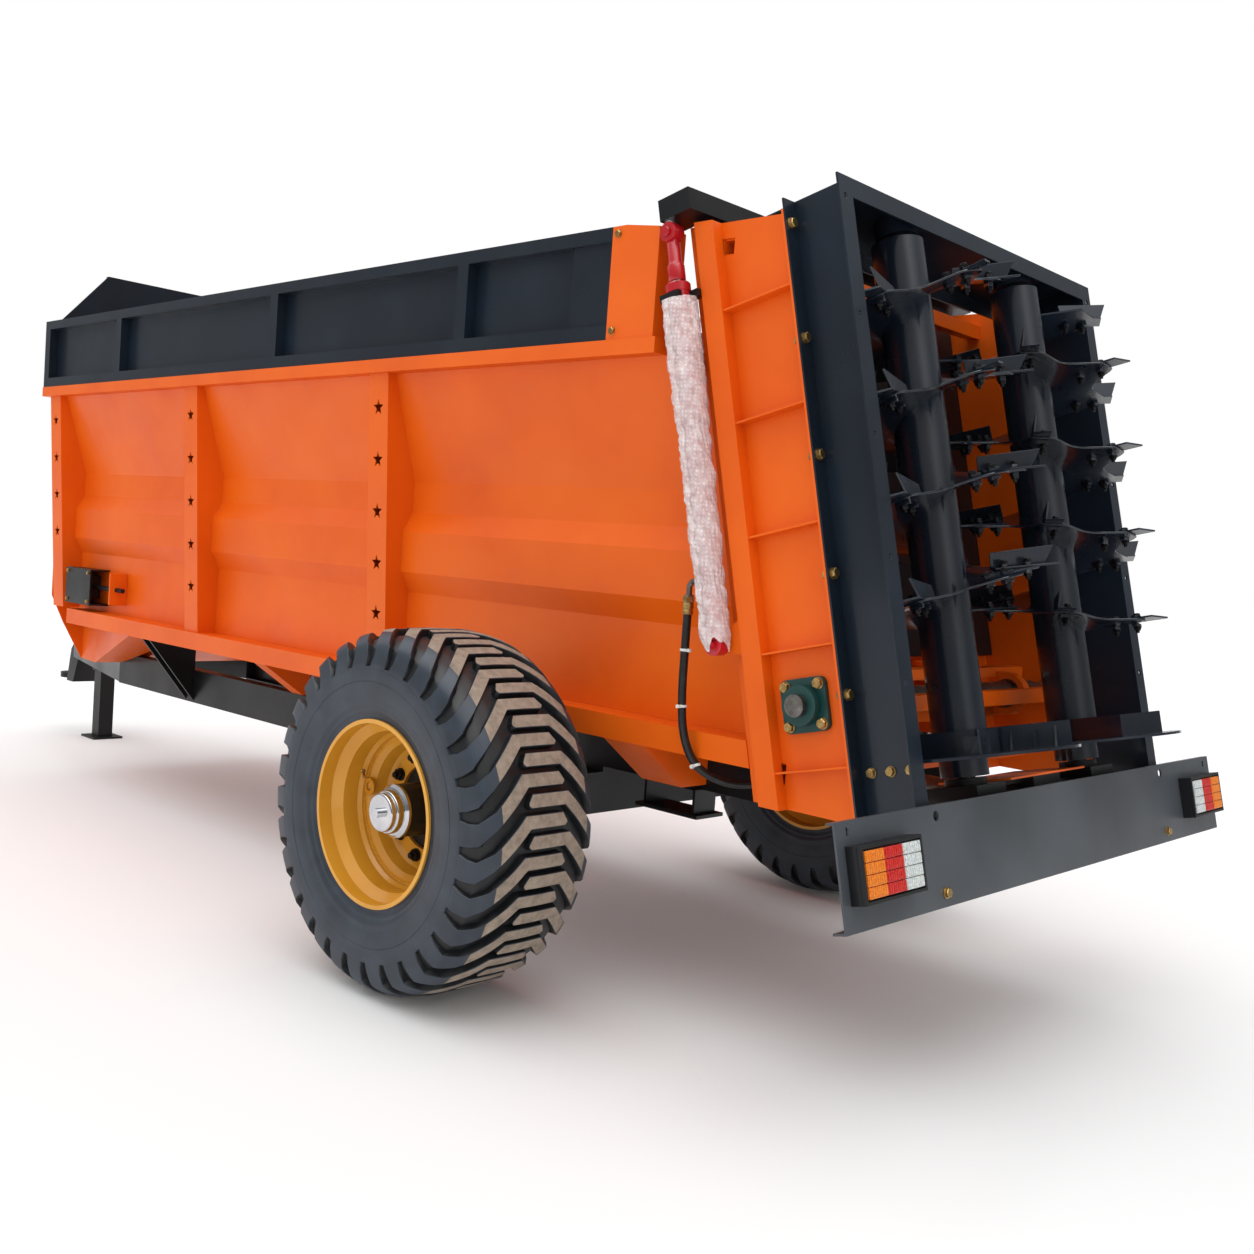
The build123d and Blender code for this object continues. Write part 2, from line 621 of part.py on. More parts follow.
def barrel():
    """Door cylinder: barrel, gland and lower eye with its bracket on the column."""
    body = bar((CYLINDER_X, CYLINDER_Y, 1400), (CYLINDER_X, CYLINDER_Y, 2430), BARREL_R)
    body += bar((CYLINDER_X, CYLINDER_Y, 2430), (CYLINDER_X, CYLINDER_Y, 2490), 37)
    body -= bar((CYLINDER_X, CYLINDER_Y, 1460), (CYLINDER_X, CYLINDER_Y, 2500), ROD_R + RUNNING_GAP)
    eye = bar((CYLINDER_X, CYLINDER_Y - 20, 1385), (CYLINDER_X, CYLINDER_Y + 20, 1385), 32)
    eye += bar((CYLINDER_X, CYLINDER_Y - 34.5, 1385), (CYLINDER_X, CYLINDER_Y + 34, 1385), 13)
    strap = block((522, CYLINDER_X + 42), (CYLINDER_Y - 42, CYLINDER_Y + 42), (2440, 2460))
    strap -= bar((CYLINDER_X, CYLINDER_Y, 2400), (CYLINDER_X, CYLINDER_Y, 2500), 37)
    strap -= block((522, 560), (CYLINDER_Y - 6, CYLINDER_Y + 60), (2430, 2470))
    return body + eye, strap


def wrap():
    """Loose protective film round the barrel."""
    spot = (CYLINDER_X, CYLINDER_Y)
    sleeve = bar((*spot, 1610), (*spot, 2420), 47) - bar((*spot, 1400), (*spot, 2500), BARREL_R + 0.5)
    return sleeve


def door():
    """Sliding rear door, closed down to the slats."""
    back, front = DOOR_X
    panel = block((back, back + SHEET), (-735, 735), DOOR_Z)
    for z in (DOOR_Z[0], 1780, 2230, DOOR_Z[1] - 30):
        panel += block((back, front), (-735, 735), (z, z + 30))
    for y in (-735, -15, 705):
        panel += block((back, front), (y, y + 30), DOOR_Z)
    return REAR * panel


def door_crossbar():
    """Lifting beam on the door with an arm out to each rod eye."""
    beam = block((490, 556), (-735, 735), CROSSBAR_Z)
    arm = block((490, 612), (735, 850), CROSSBAR_Z)
    return REAR * (beam + both(arm))


def rods():
    rod = bar((CYLINDER_X, CYLINDER_Y, 1480), (CYLINDER_X, CYLINDER_Y, CROSSBAR_Z[0]), ROD_R)
    return REAR * both(rod)


# ---------------------------------------------------------------- beaters


def flight():
    """Helical flight as a ruled strip between two helices, given its thickness upwards."""
    height = FLIGHT_PITCH * FLIGHT_TURNS
    inner = Helix(FLIGHT_PITCH, height, BEATER_R - 3)
    outer = Helix(FLIGHT_PITCH, height, FLIGHT_R)
    strip = Face.make_surface_from_curves(inner.edge(), outer.edge())
    return extrude(strip, amount=6, dir=(0, 0, 1))


def blade():
    """Angle-iron blade along +x with a forked tip."""
    start = 165
    foot = block((start, BLADE_TIP - 12), (-30, 30), (6, 12))
    upright = prism_y([(start, 12), (start, 68), (BLADE_TIP, 68), (BLADE_TIP - 34, 42), (BLADE_TIP - 4, 12)],
                      (24, 30))
    return foot + upright


def flight_with_blades():
    whole = flight()
    count = int(FLIGHT_TURNS * 3)
    for i in range(count):
        angle = 60 + 120 * i
        rise = FLIGHT_PITCH * angle / 360
        whole += Pos(0, 0, rise) * Rot(0, 0, angle) * blade()
    return Pos(BEATER_X, BEATER_Y, FLIGHT_FOOT) * Rot(0, 0, FLIGHT_START) * whole


def beater_tube():
    spot = (BEATER_X, BEATER_Y)
    tube = bar((*spot, DISC_Z[1]), (*spot, 2540), BEATER_R)
    return tube + bar((*spot, 2540), (*spot, 2595), 25)


def beater_disc():
    """Spreading disc with four offset paddles, the hub under it and the drive shaft."""
    spot = (BEATER_X, BEATER_Y)
    disc = bar((*spot, DISC_Z[0]), (*spot, DISC_Z[1]), DISC_R)
    disc += bar((*spot, 930), (*spot, DISC_Z[0]), 70) + bar((*spot, 880), (*spot, 930), 30)
    paddle = block((-60, 300), (95, 101), (DISC_Z[1], DISC_Z[1] + 70))
    paddle += block((200, 206), (40, 95), (DISC_Z[1], DISC_Z[1] + 50))
    for i in range(4):
        disc += Pos(*spot, 0) * Rot(0, 0, 90 * i + 20) * paddle
    return disc


# ---------------------------------------------------------------- hydraulics

# Route of the hose from the cylinder's lower port down behind the sill (x, y, z).
HOSE_ROUTE = [(-735, 800, 1320), (-735, 800, 1180), (-741, 806, 1040), (-755, 804, 915), (-785, 770, 820),
              (-830, 690, 775), (-870, 600, 765), (-905, 520, 790), (-925, 440, 790)]


def hose():
    """Round tube along straight runs joined by tangent arcs."""
    points = [Vector(*p) for p in HOSE_ROUTE]
    radii = []
    for before, here, after in zip(points, points[1:], points[2:]):
        turn = radians((here - before).get_angle(after - here))
        shorter = min((here - before).length, (after - here).length)
        radii.append(0.45 * shorter / tan(turn / 2))
    path = FilletPolyline(*points, radius=radii)
    section = Plane(origin=points[0], z_dir=points[1] - points[0]) * Circle(HOSE_R)
    tube = sweep(section, path=path)
    print("hose radii", [round(r) for r in radii], "length", round(path.length),
          "volume ratio", round(tube.volume / (pi * HOSE_R ** 2 * path.length), 4))
    return tube


def hose_fitting():
    """Steel elbow from the barrel's lower port to the hose end."""
    port = (-801, 815, 1385)
    bend = (-748, 803, 1385)
    arm = bar(port, bend, 9) + bar((-735, 800, 1372), (-735, 800, 1336), 9)
    arm += Pos(bend) * Sphere(9) + bar(bend, (-735, 800, 1372), 9) + Pos(-735, 800, 1372) * Sphere(9)
    return arm + bar((-735, 800, 1320), (-735, 800, 1344), 15)


# ---------------------------------------------------------------- all pieces


def main():
    wheels()
    save("axle", axle())
    save("chassis_rails", chassis_rails())
    save("drawbar", drawbar())
    save("jack_housing", jack_housing())
    save("jack_leg", jack_leg())
    save("chassis_brackets", chassis_brackets())
    save("cross_bearers", cross_bearers())
    save("driveline", driveline())
    save_pair("side_wall", side_wall())
    save("side_posts", both(side_posts()))
    save("sills", both(sill()))
    save("top_flanges", both(top_flange()))
    save("front_wall", front_wall())
    save("side_extensions", both(side_extension()))
    save("headboard", headboard())
    save("corner_gussets", both(corner_gusset()))
    save("floor_pan", floor_pan())
    save("floor_chain", floor_chain())
    save("chain_shafts", chain_shafts())
    save("shaft_bearings", both(shaft_bearing()))
    save("tensioners", both(tensioner()))
    save("tensioner_brackets", both(tensioner_bracket()))
    save_pair("rear_post", rear_post())
    save("cross_tubes", cross_tubes())
    save_pair("side_plate", side_plate())
    save("top_beam", top_beam())
    save("bottom_beam", bottom_beam())
    save("gearboxes", gearboxes())
    save("gearbox_plate", gearbox_plate())
    save("bumper", bumper())
    save("lamps", lamps())
    save("lamp_lenses", lamp_lenses())
    cylinder, strap = barrel()
    save("cylinder_barrels", REAR * both(cylinder))
    save("cylinder_straps", REAR * both(strap))
    save_pair("cylinder_wrap", REAR * wrap())
    save("door_panel", door())
    save("door_crossbar", door_crossbar())
    save("cylinder_rods", rods())
    save_pair("beater_flight", REAR * flight_with_blades())
    save_pair("beater_tube", REAR * beater_tube())
    save_pair("beater_disc", REAR * beater_disc())
    save_pair("hose", hose())
    save("hose_fittings", both(hose_fitting()))


main()
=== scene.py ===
# %% [markdown]
# # A manure spreader, dressed on its CAD frame
#
# The real machine is a steel trailer on two flotation tyres. Two upright beaters at its leaning
# rear end tear the load apart and throw it out. The CAD model gives the steelwork at its real size,
# and this lesson adds what a close look shows: paint, tread, bolts, weld beads, film and hoses.

# %% The frame
import math
import random

import bmesh
import bpy
import numpy as np
from mathutils import Matrix, Vector


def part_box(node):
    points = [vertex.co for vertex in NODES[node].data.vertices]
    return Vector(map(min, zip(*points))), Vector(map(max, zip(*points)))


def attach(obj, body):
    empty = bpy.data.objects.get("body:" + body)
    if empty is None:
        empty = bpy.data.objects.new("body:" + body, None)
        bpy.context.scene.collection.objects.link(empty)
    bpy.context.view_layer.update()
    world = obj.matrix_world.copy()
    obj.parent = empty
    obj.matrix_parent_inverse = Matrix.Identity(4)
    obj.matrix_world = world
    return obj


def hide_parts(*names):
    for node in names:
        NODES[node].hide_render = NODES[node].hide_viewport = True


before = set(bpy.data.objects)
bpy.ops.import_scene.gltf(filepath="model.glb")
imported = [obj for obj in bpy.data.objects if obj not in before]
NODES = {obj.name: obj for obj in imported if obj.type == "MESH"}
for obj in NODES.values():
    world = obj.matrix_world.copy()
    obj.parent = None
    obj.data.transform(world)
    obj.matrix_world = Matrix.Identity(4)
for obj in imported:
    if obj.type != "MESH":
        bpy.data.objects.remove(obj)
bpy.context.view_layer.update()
MM = 0.001

# %% [markdown]
# ## Places
#
# Positions come from the frame. The axle is the middle of the left tyre, and the rear assembly
# leans forward, so it gets its own set of axes: x forward, y left, z up along the posts.

# %% The axle and the leaning rear axes
tyre_low, tyre_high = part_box("tyre_left")
AXLE = (tyre_low + tyre_high) / 2
LEAN = math.radians(13.7)
REAR_ORIGIN = Vector((AXLE.x - 1.7805, 0, 0))
REAR = Matrix.Translation(REAR_ORIGIN) @ Matrix.Rotation(LEAN, 4, "Y")
AX = AXLE.x
print("axle at", [round(c, 4) for c in AXLE])

# %% [markdown]
# ## The camera
#
# A moderate wide angle from behind the left rear corner, at a standing person's eye height. It
# leans a few degrees, as a hand-held camera does.

# %% Camera
scene = bpy.context.scene
camera_data = bpy.data.cameras.new("camera")
camera_data.lens = 36.98
camera_data.sensor_width = 36.0
camera = bpy.data.objects.new("camera", camera_data)
scene.collection.objects.link(camera)
camera.location = (AX - 3.289, 3.7685, 1.461)
VIEW = Vector((0.6854, -0.7260, -0.0583)).normalized()
RIGHT = Vector((-0.7222, -0.6877, 0.0730))
RIGHT = (RIGHT - RIGHT.dot(VIEW) * VIEW).normalized()
UP = RIGHT.cross(VIEW)
camera.rotation_mode = "QUATERNION"
camera.rotation_quaternion = Matrix((RIGHT, UP, -VIEW)).transposed().to_quaternion()
scene.camera = camera
print("camera at", [round(c, 3) for c in camera.location])

# %% [markdown]
# ## Node helpers
#
# Every material is a small node tree. One function adds a node with its settings and links, and
# one turns the hex colours that people write into the linear numbers that the renderer needs.

# %% Colour and node helpers


def linear(hex_code):
    """An sRGB hex colour as linear RGBA."""
    parts = [int(hex_code[i:i + 2], 16) / 255 for i in (1, 3, 5)]
    return tuple(c / 12.92 if c <= 0.04045 else ((c + 0.055) / 1.055) ** 2.4 for c in parts) + (1.0,)


def add(tree, kind, settings=None, **links):
    """Add a node. Settings are attributes or input values, and links name the input they feed."""
    node = tree.nodes.new(kind)
    for key, value in (settings or {}).items():
        if isinstance(key, int) or key in node.inputs:
            node.inputs[key].default_value = value
        else:
            setattr(node, key, value)
    for key, source in links.items():
        socket = int(key[1:]) if key[0] == "i" and key[1:].isdigit() else key.replace("_", " ")
        tree.links.new(source, node.inputs[socket])
    return node


def math_node(tree, operation, first, second):
    """Combine two values, each a socket or a number."""
    node = add(tree, "ShaderNodeMath", {"operation": operation})
    for socket, value in zip(node.inputs, (first, second)):
        if isinstance(value, (int, float)):
            socket.default_value = value
        else:
            tree.links.new(value, socket)
    return node.outputs[0]


def blend_colours(tree, weight, first, second):
    """Mix two colours, each a socket or a hex code, by a weight from 0 to 1."""
    node = add(tree, "ShaderNodeMix", {"data_type": "RGBA"}, i0=weight)
    for socket, value in zip((node.inputs[6], node.inputs[7]), (first, second)):
        if isinstance(value, str):
            socket.default_value = linear(value)
        else:
            tree.links.new(value, socket)
    return node.outputs[2]


def ramp(tree, source, stops):
    """A colour ramp through (place, hex or grey) stops."""
    node = add(tree, "ShaderNodeValToRGB", i0=source)
    elements = node.color_ramp.elements
    while len(elements) < len(stops):
        elements.new(0.5)
    for element, (place, value) in zip(elements, stops):
        element.position = place
        element.color = linear(value) if isinstance(value, str) else (value, value, value, 1.0)
    return node.outputs["Color"]


def new_material(name):
    material = bpy.data.materials.new(name)
    material.use_nodes = True
    tree = material.node_tree
    tree.nodes.clear()
    out = add(tree, "ShaderNodeOutputMaterial")
    shader = add(tree, "ShaderNodeBsdfPrincipled")
    tree.links.new(shader.outputs[0], out.inputs[0])
    place = add(tree, "ShaderNodeTexCoord").outputs["Object"]
    return material, tree, shader, place


def noise(tree, place, size_mm, detail=3.0, roughness=0.5):
    """Noise whose blobs are about size_mm across."""
    settings = {"Scale": 1000.0 / size_mm, "Detail": detail, "Roughness": roughness}
    return add(tree, "ShaderNodeTexNoise", settings, Vector=place).outputs["Fac"]


print("helpers ready")

# %% [markdown]
# ## Sprayed enamel
#
# The steelwork is sprayed with a two-pack enamel. The eye sees a slightly wavy gloss, called
# orange peel, whose cells are a few millimetres wide. It also sees faint cloudiness where the coat
# is thinner, dust that dulls the gloss, and fine dirt. One function makes every paint from these.

# %% Sprayed enamel


def enamel(name, base, shade, tint, rough, dust, dust_amount, peel, coat):
    """Sprayed paint: base colour drifting to shade and tint, with dust and orange peel."""
    material, tree, shader, place = new_material(name)
    colour = ramp(tree, noise(tree, place, 420, 3), [(0.30, shade), (0.52, base), (0.75, tint)])
    fleck = ramp(tree, noise(tree, place, 9, 4, 0.7), [(0.60, 0.0), (0.80, 1.0)])
    patch = ramp(tree, noise(tree, place, 160, 5, 0.65), [(0.52, 0.0), (0.80, 1.0)])
    dirt = math_node(tree, "MULTIPLY", fleck, patch)
    dirty = blend_colours(tree, math_node(tree, "MULTIPLY", dirt, dust_amount * 3), colour, dust)
    tree.links.new(dirty, shader.inputs["Base Color"])
    gloss = ramp(tree, noise(tree, place, 230, 4), [(0.25, rough - 0.06), (0.75, rough + 0.10)])
    tree.links.new(gloss, shader.inputs["Roughness"])
    bump = add(tree, "ShaderNodeBump", {"Strength": peel, "Distance": 0.0008}, Height=noise(tree, place, 5, 2))
    tree.links.new(bump.outputs[0], shader.inputs["Normal"])
    shader.inputs["IOR"].default_value = 1.5
    shader.inputs["Coat Weight"].default_value = coat
    shader.inputs["Coat Roughness"].default_value = 0.08
    shader.inputs["Specular IOR Level"].default_value = 0.2 + coat / 2
    return material


ORANGE = enamel("orange_enamel", "#E4600A", "#DC5808", "#E8660E", 0.42, "#C08A60", 0.07, 0.10, 0.05)
SLATE = enamel("slate_enamel", "#17202B", "#131B25", "#1D2835", 0.34, "#6F7780", 0.20, 0.12, 0.2)
BEATER = enamel("beater_enamel", "#141C27", "#0F161F", "#1A2432", 0.24, "#5A616A", 0.12, 0.12, 0.5)
BLADE = enamel("blade_enamel", "#1A222D", "#141B24", "#232D3A", 0.28, "#6A727B", 0.16, 0.12, 0.4)
BLACK = enamel("black_chassis_enamel", "#17181A", "#101113", "#222326", 0.38, "#5C5A58", 0.22, 0.14, 0.1)
GREY = enamel("grey_bumper_enamel", "#44484D", "#3A3E43", "#4E5257", 0.36, "#7D8084", 0.30, 0.12, 0.2)
YELLOW = enamel("ochre_rim_enamel", "#D3942A", "#C4841F", "#DDA23A", 0.33, "#8A6A3A", 0.16, 0.10, 0.3)
GREEN = enamel("dark_green_enamel", "#1D4643", "#173A38", "#25524F", 0.32, "#6B7D78", 0.30, 0.18, 0.1)
RED = enamel("red_cylinder_enamel", "#B9121F", "#A20E1A", "#C61C2A", 0.26, "#7A4040", 0.10, 0.08, 0.4)
print("paints:", [m.name for m in (ORANGE, SLATE, BLACK, GREY, YELLOW, GREEN, RED)])

# %% [markdown]
# ## Bare and plated metal
#
# The hub caps are chromed, the bolts are zinc plated with a yellow passivation, and the shafts are
# turned steel with a light oil film.

# %% Metals


def metal(name, base, dark, rough, size_mm, peel=0.1):
    """Metal whose colour and gloss drift over size_mm."""
    material, tree, shader, place = new_material(name)
    drift = noise(tree, place, size_mm, 4, 0.6)
    tree.links.new(ramp(tree, drift, [(0.3, dark), (0.7, base)]), shader.inputs["Base Color"])
    gloss = ramp(tree, drift, [(0.3, rough + 0.12), (0.7, rough)])
    tree.links.new(gloss, shader.inputs["Roughness"])
    shader.inputs["Metallic"].default_value = 1.0
    bump = add(tree, "ShaderNodeBump", {"Strength": peel, "Distance": 0.0005}, Height=noise(tree, place, 2, 3))
    tree.links.new(bump.outputs[0], shader.inputs["Normal"])
    return material


CHROME = metal("chromed_steel", "#D8D9DC", "#B9BBBF", 0.08, 90, 0.01)
ZINC = metal("yellow_zinc_plate", "#C9A86A", "#94764A", 0.32, 14, 0.15)
STEEL = metal("turned_steel", "#8D8A86", "#5E5A55", 0.34, 30, 0.12)
DARK_STEEL = metal("blackened_steel", "#3A3A3C", "#232325", 0.42, 20, 0.15)
BRASS = metal("brass_fitting", "#B89A5A", "#8C7340", 0.3, 12, 0.08)
print("metals:", CHROME.name, ZINC.name, STEEL.name)

# %% [markdown]
# ## Rubber, plastic and film
#
# Tyre rubber is a matt blue-black with a bloom of dust. Hose cover is glossier. The lamp lenses
# are moulded acrylic, and the film round the door cylinders is thin polyethylene.

# %% Rubber and plastic


def rubber(name, base, shade, bloom, rough):
    """Moulded rubber with a dusty bloom."""
    material, tree, shader, place = new_material(name)
    body = ramp(tree, noise(tree, place, 120, 4), [(0.3, shade), (0.7, base)])
    dusty = ramp(tree, noise(tree, place, 35, 5, 0.7), [(0.50, 0.0), (0.80, 0.45)])
    tree.links.new(blend_colours(tree, dusty, body, bloom), shader.inputs["Base Color"])
    tree.links.new(ramp(tree, dusty, [(0.0, rough), (0.5, rough + 0.15)]), shader.inputs["Roughness"])
    bump = add(tree, "ShaderNodeBump", {"Strength": 0.25, "Distance": 0.0006}, Height=noise(tree, place, 3, 4))
    tree.links.new(bump.outputs[0], shader.inputs["Normal"])
    return material


HOSE = rubber("hose_rubber", "#141517", "#0D0E10", "#3A3B3D", 0.38)


def acrylic(name, base, shade):
    """Moulded lens plastic, its colour finely mottled, with a little light carried under the surface."""
    material, tree, shader, place = new_material(name)
    body = ramp(tree, noise(tree, place, 6, 2), [(0.35, shade), (0.65, base)])
    tree.links.new(body, shader.inputs["Base Color"])
    shader.inputs["Roughness"].default_value = 0.18
    shader.inputs["IOR"].default_value = 1.49
    shader.inputs["Subsurface Weight"].default_value = 0.15
    return material


def tyre_rubber():
    """Tyre rubber coloured by a mark on each face: painted shade that darkens the grooves and lug walls, grey sides,
    dusty tops.
    """
    material, tree, shader, place = new_material("tyre_rubber")
    dust_and_shade = add(tree, "ShaderNodeAttribute", {"attribute_name": "dust_and_shade"}).outputs["Fac"]
    cloud = noise(tree, place, 90, 4)
    side = ramp(tree, cloud, [(0.3, "#222A34"), (0.7, "#303A46")])
    top = ramp(tree, noise(tree, place, 28, 5, 0.7), [(0.25, "#6E645A"), (0.5, "#8F8172"), (0.8, "#A8998A")])
    # painted shade: groove floors and lug walls are the sides' rubber, darkened to near black as if shaded
    groove_shade = ramp(tree, noise(tree, place, 40, 4), [(0.3, "#0C0E10"), (0.75, "#1B1D20")])
    raised = ramp(tree, dust_and_shade, [(0.15, 0.0), (0.40, 1.0)])
    dusty = ramp(tree, dust_and_shade, [(0.6, 0.0), (0.9, 1.0)])
    colour = blend_colours(tree, dusty, blend_colours(tree, raised, groove_shade, side), top)
    tree.links.new(colour, shader.inputs["Base Color"])
    tree.links.new(ramp(tree, dusty, [(0.0, 0.46), (1.0, 0.8)]), shader.inputs["Roughness"])
    bump = add(tree, "ShaderNodeBump", {"Strength": 0.2, "Distance": 0.0006}, Height=noise(tree, place, 3, 4))
    tree.links.new(bump.outputs[0], shader.inputs["Normal"])
    return material


def bubble_film():
    """Clear polyethylene with round air cells 12 mm across, cloudy where layers lie together."""
    material, tree, shader, place = new_material("bubble_film")
    cell = add(tree, "ShaderNodeTexVoronoi", {"Scale": 80.0, "Randomness": 0.15}, Vector=place).outputs["Distance"]
    dome = ramp(tree, cell, [(0.0, 1.0), (0.33, 0.75), (0.46, 0.0)])
    cloud = noise(tree, place, 26, 5, 0.65)
    tree.links.new(ramp(tree, cloud, [(0.3, "#E6D3D2"), (0.7, "#F7EFEE")]), shader.inputs["Base Color"])
    veil = ramp(tree, cloud, [(0.35, 0.50), (0.7, 0.74)])
    haze = math_node(tree, "ADD", veil, math_node(tree, "MULTIPLY", dome, 0.20))
    tree.links.new(haze, shader.inputs["Alpha"])
    shader.inputs["Roughness"].default_value = 0.22
    shader.inputs["IOR"].default_value = 1.5
    bump = add(tree, "ShaderNodeBump", {"Strength": 0.7, "Distance": 0.002}, Height=dome)
    tree.links.new(bump.outputs[0], shader.inputs["Normal"])
    return material


TYRE = tyre_rubber()
FILM = bubble_film()
AMBER = acrylic("amber_acrylic", "#F08A2C", "#E0701A")
LENS_RED = acrylic("red_acrylic", "#D8342C", "#B81F1C")
CLEAR = acrylic("clear_acrylic", "#E3E3E1", "#B9B9B7")
NYLON = acrylic("white_nylon", "#E8E8E4", "#D2D2CC")
print("plastics:", AMBER.name, LENS_RED.name, CLEAR.name)

# %% [markdown]
# ## Dressing the CAD nodes
#
# Most steel pieces keep their CAD shape, and only get their finish. A table says which finish
# belongs to which piece.

# %% Finishes of the CAD nodes
FINISH = {
    ORANGE: "side_wall_left side_wall_right side_posts sills top_flanges front_wall corner_gussets floor_pan "
            "floor_chain tensioner_brackets rear_post_left rear_post_right cross_tubes cross_bearers "
            "gearbox_plate",
    SLATE: "side_extensions headboard side_plate_left side_plate_right top_beam",
    BEATER: "beater_flight_left beater_flight_right beater_tube_left beater_tube_right beater_disc_left "
            "beater_disc_right",
    BLACK: "axle chassis_rails drawbar jack_housing jack_leg chassis_brackets tensioners bottom_beam "
           "gearboxes lamps cylinder_straps door_panel door_crossbar hub_left hub_right",
    GREY: "bumper",
    YELLOW: "rim_left rim_right",
    GREEN: "shaft_bearings",
    RED: "cylinder_barrels",
    CHROME: "hub_cap_left hub_cap_right cylinder_rods",
    STEEL: "driveline chain_shafts hose_fittings",
    TYRE: "tyre_left tyre_right",
    HOSE: "hose_left hose_right",
    LENS_RED: "lamp_lenses",
    CLEAR: "cylinder_wrap_left cylinder_wrap_right",
}
for material, names in FINISH.items():
    for name in names.split():
        NODES[name].data.materials.clear()
        NODES[name].data.materials.append(material)
missing = set(NODES) - {n for names in FINISH.values() for n in names.split()}
print("nodes with no finish:", sorted(missing))

# %% [markdown]
# ## Building small pieces
#
# Bolts, lenses and beads are meshes made from outlines. A piece belongs to a body of the machine,
# so it turns or slides with it. Right-hand pieces are the left-hand ones mirrored across the
# machine's middle plane.

# %% Mesh helpers
MIRROR = Matrix.Scale(-1, 4, (0, 1, 0))
SIDES = {"left": Matrix.Identity(4), "right": MIRROR}


def spot(x, y, z):
    """A point from its station, side and height in mm."""
    return Vector((AX + x * MM, y * MM, z * MM))


def rear(x, y, z):
    """A point from the leaning rear axes in mm."""
    return REAR @ Vector((x * MM, y * MM, z * MM))


def facing(point, direction):
    """A frame at a point whose z axis is the direction."""
    turn = Vector(direction).to_track_quat("Z", "Y").to_matrix().to_4x4()
    return Matrix.Translation(point) @ turn


BACK = REAR.to_3x3() @ Vector((-1, 0, 0))
AHEAD = -BACK
OUT = Vector((0, 1, 0))


def piece(name, build, finish, body=None, origin=None, bevel=0.0, angle=35):
    """A mesh object filled by build, with smooth shading up to an angle."""
    bm = bmesh.new()
    build(bm)
    bmesh.ops.recalc_face_normals(bm, faces=bm.faces[:])
    mesh = bpy.data.meshes.new(name)
    bm.to_mesh(mesh)
    bm.free()
    mesh.materials.append(finish)
    mesh.shade_smooth()
    mesh.set_sharp_from_angle(angle=math.radians(angle))
    obj = bpy.data.objects.new(name, mesh)
    scene.collection.objects.link(obj)
    if origin is not None:
        mesh.transform(Matrix.Translation(-Vector(origin)))
        obj.location = origin
    if bevel:
        edge = obj.modifiers.new("edge", "BEVEL")
        edge.width = bevel * MM
        edge.segments = 2
        edge.limit_method = "ANGLE"
        edge.angle_limit = math.radians(40)
    if body:
        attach(obj, body)
    return obj


def skin(bm, rings, closed=True, capped=True):
    """Quads between rings of vertices, with the end rings filled."""
    for first, second in zip(rings, rings[1:]):
        count = len(first)
        for k in range(count if closed else count - 1):
            n = (k + 1) % count
            bm.faces.new((first[k], first[n], second[n], second[k]))
    if capped:
        bm.faces.new(rings[0][::-1])
        bm.faces.new(rings[-1])


def lathe(bm, place, profile, sides=24, turn=0.0):
    """(radius, height) points in mm turned about the place's z axis."""
    rings = []
    for radius, height in profile:
        angles = [2 * math.pi * k / sides + turn for k in range(sides)]
        points = [(radius * math.cos(a) * MM, radius * math.sin(a) * MM, height * MM) for a in angles]
        rings.append([bm.verts.new(place @ Vector(p)) for p in points])
    skin(bm, rings)


def bolt(bm, place, d, stud=0.0, turn=0.0):
    """Washer and chamfered hexagon for a thread of diameter d, and a stud end if it is a nut."""
    w, h = 0.17 * d, 0.68 * d
    lathe(bm, place, [(1.08 * d, 0), (1.08 * d, w * 0.8), (1.02 * d, w)], 28)
    lathe(bm, place, [(0.97 * d, w), (0.97 * d, w + h * 0.8), (0.84 * d, w + h)], 6, turn)
    lathe(bm, place, [(0.76 * d, w + h * 0.9), (0.76 * d, w + h + 0.02 * d)], 24)
    if stud:
        top = w + h + stud
        lathe(bm, place, [(0.5 * d, w + h * 0.9), (0.5 * d, top - 0.08 * d), (0.42 * d, top)], 20)


def slab(bm, place, low, high):
    """A box in a frame from its two corners in mm."""
    corners = [(low[0], low[1]), (high[0], low[1]), (high[0], high[1]), (low[0], high[1])]
    rings = [[bm.verts.new(place @ Vector((x * MM, y * MM, z * MM))) for x, y in corners] for z in (low[2], high[2])]
    skin(bm, rings)


def bead(bm, points, radius=3.0, seed=1):
    """A rippled weld along points in the world, about 3 mm a step."""
    dice = random.Random(seed)
    rings = []
    for start, end in zip(points, points[1:]):
        along = (end - start).normalized()
        across = along.orthogonal().normalized()
        third = along.cross(across)
        steps = max(2, int((end - start).length / (3.2 * MM)))
        for k in range(steps + 1):
            r = radius * (1.0 if k % 2 else 0.74) * dice.uniform(0.9, 1.1) * MM
            r *= 0.5 if k in (0, steps) else 1.0
            middle = start.lerp(end, k / steps)
            ring = [middle + r * (math.cos(a) * across + math.sin(a) * third) for a in
                    [2 * math.pi * j / 6 for j in range(6)]]
            rings.append([bm.verts.new(p) for p in ring])
        skin(bm, rings)
        rings = []


print("mesh helpers ready")

# %% [markdown]
# ## Tyres
#
# The tyre is a flotation tyre: a round-shouldered casing, and two rows of bent lugs that reach
# past the middle and run down the shoulders. Every lug is a ribbon between an upper and a lower
# edge. Each edge is given as a distance round the outline from the middle of the tread, and an
# angle round the wheel. The walls of a lug lean out by a few millimetres, as a mould needs.

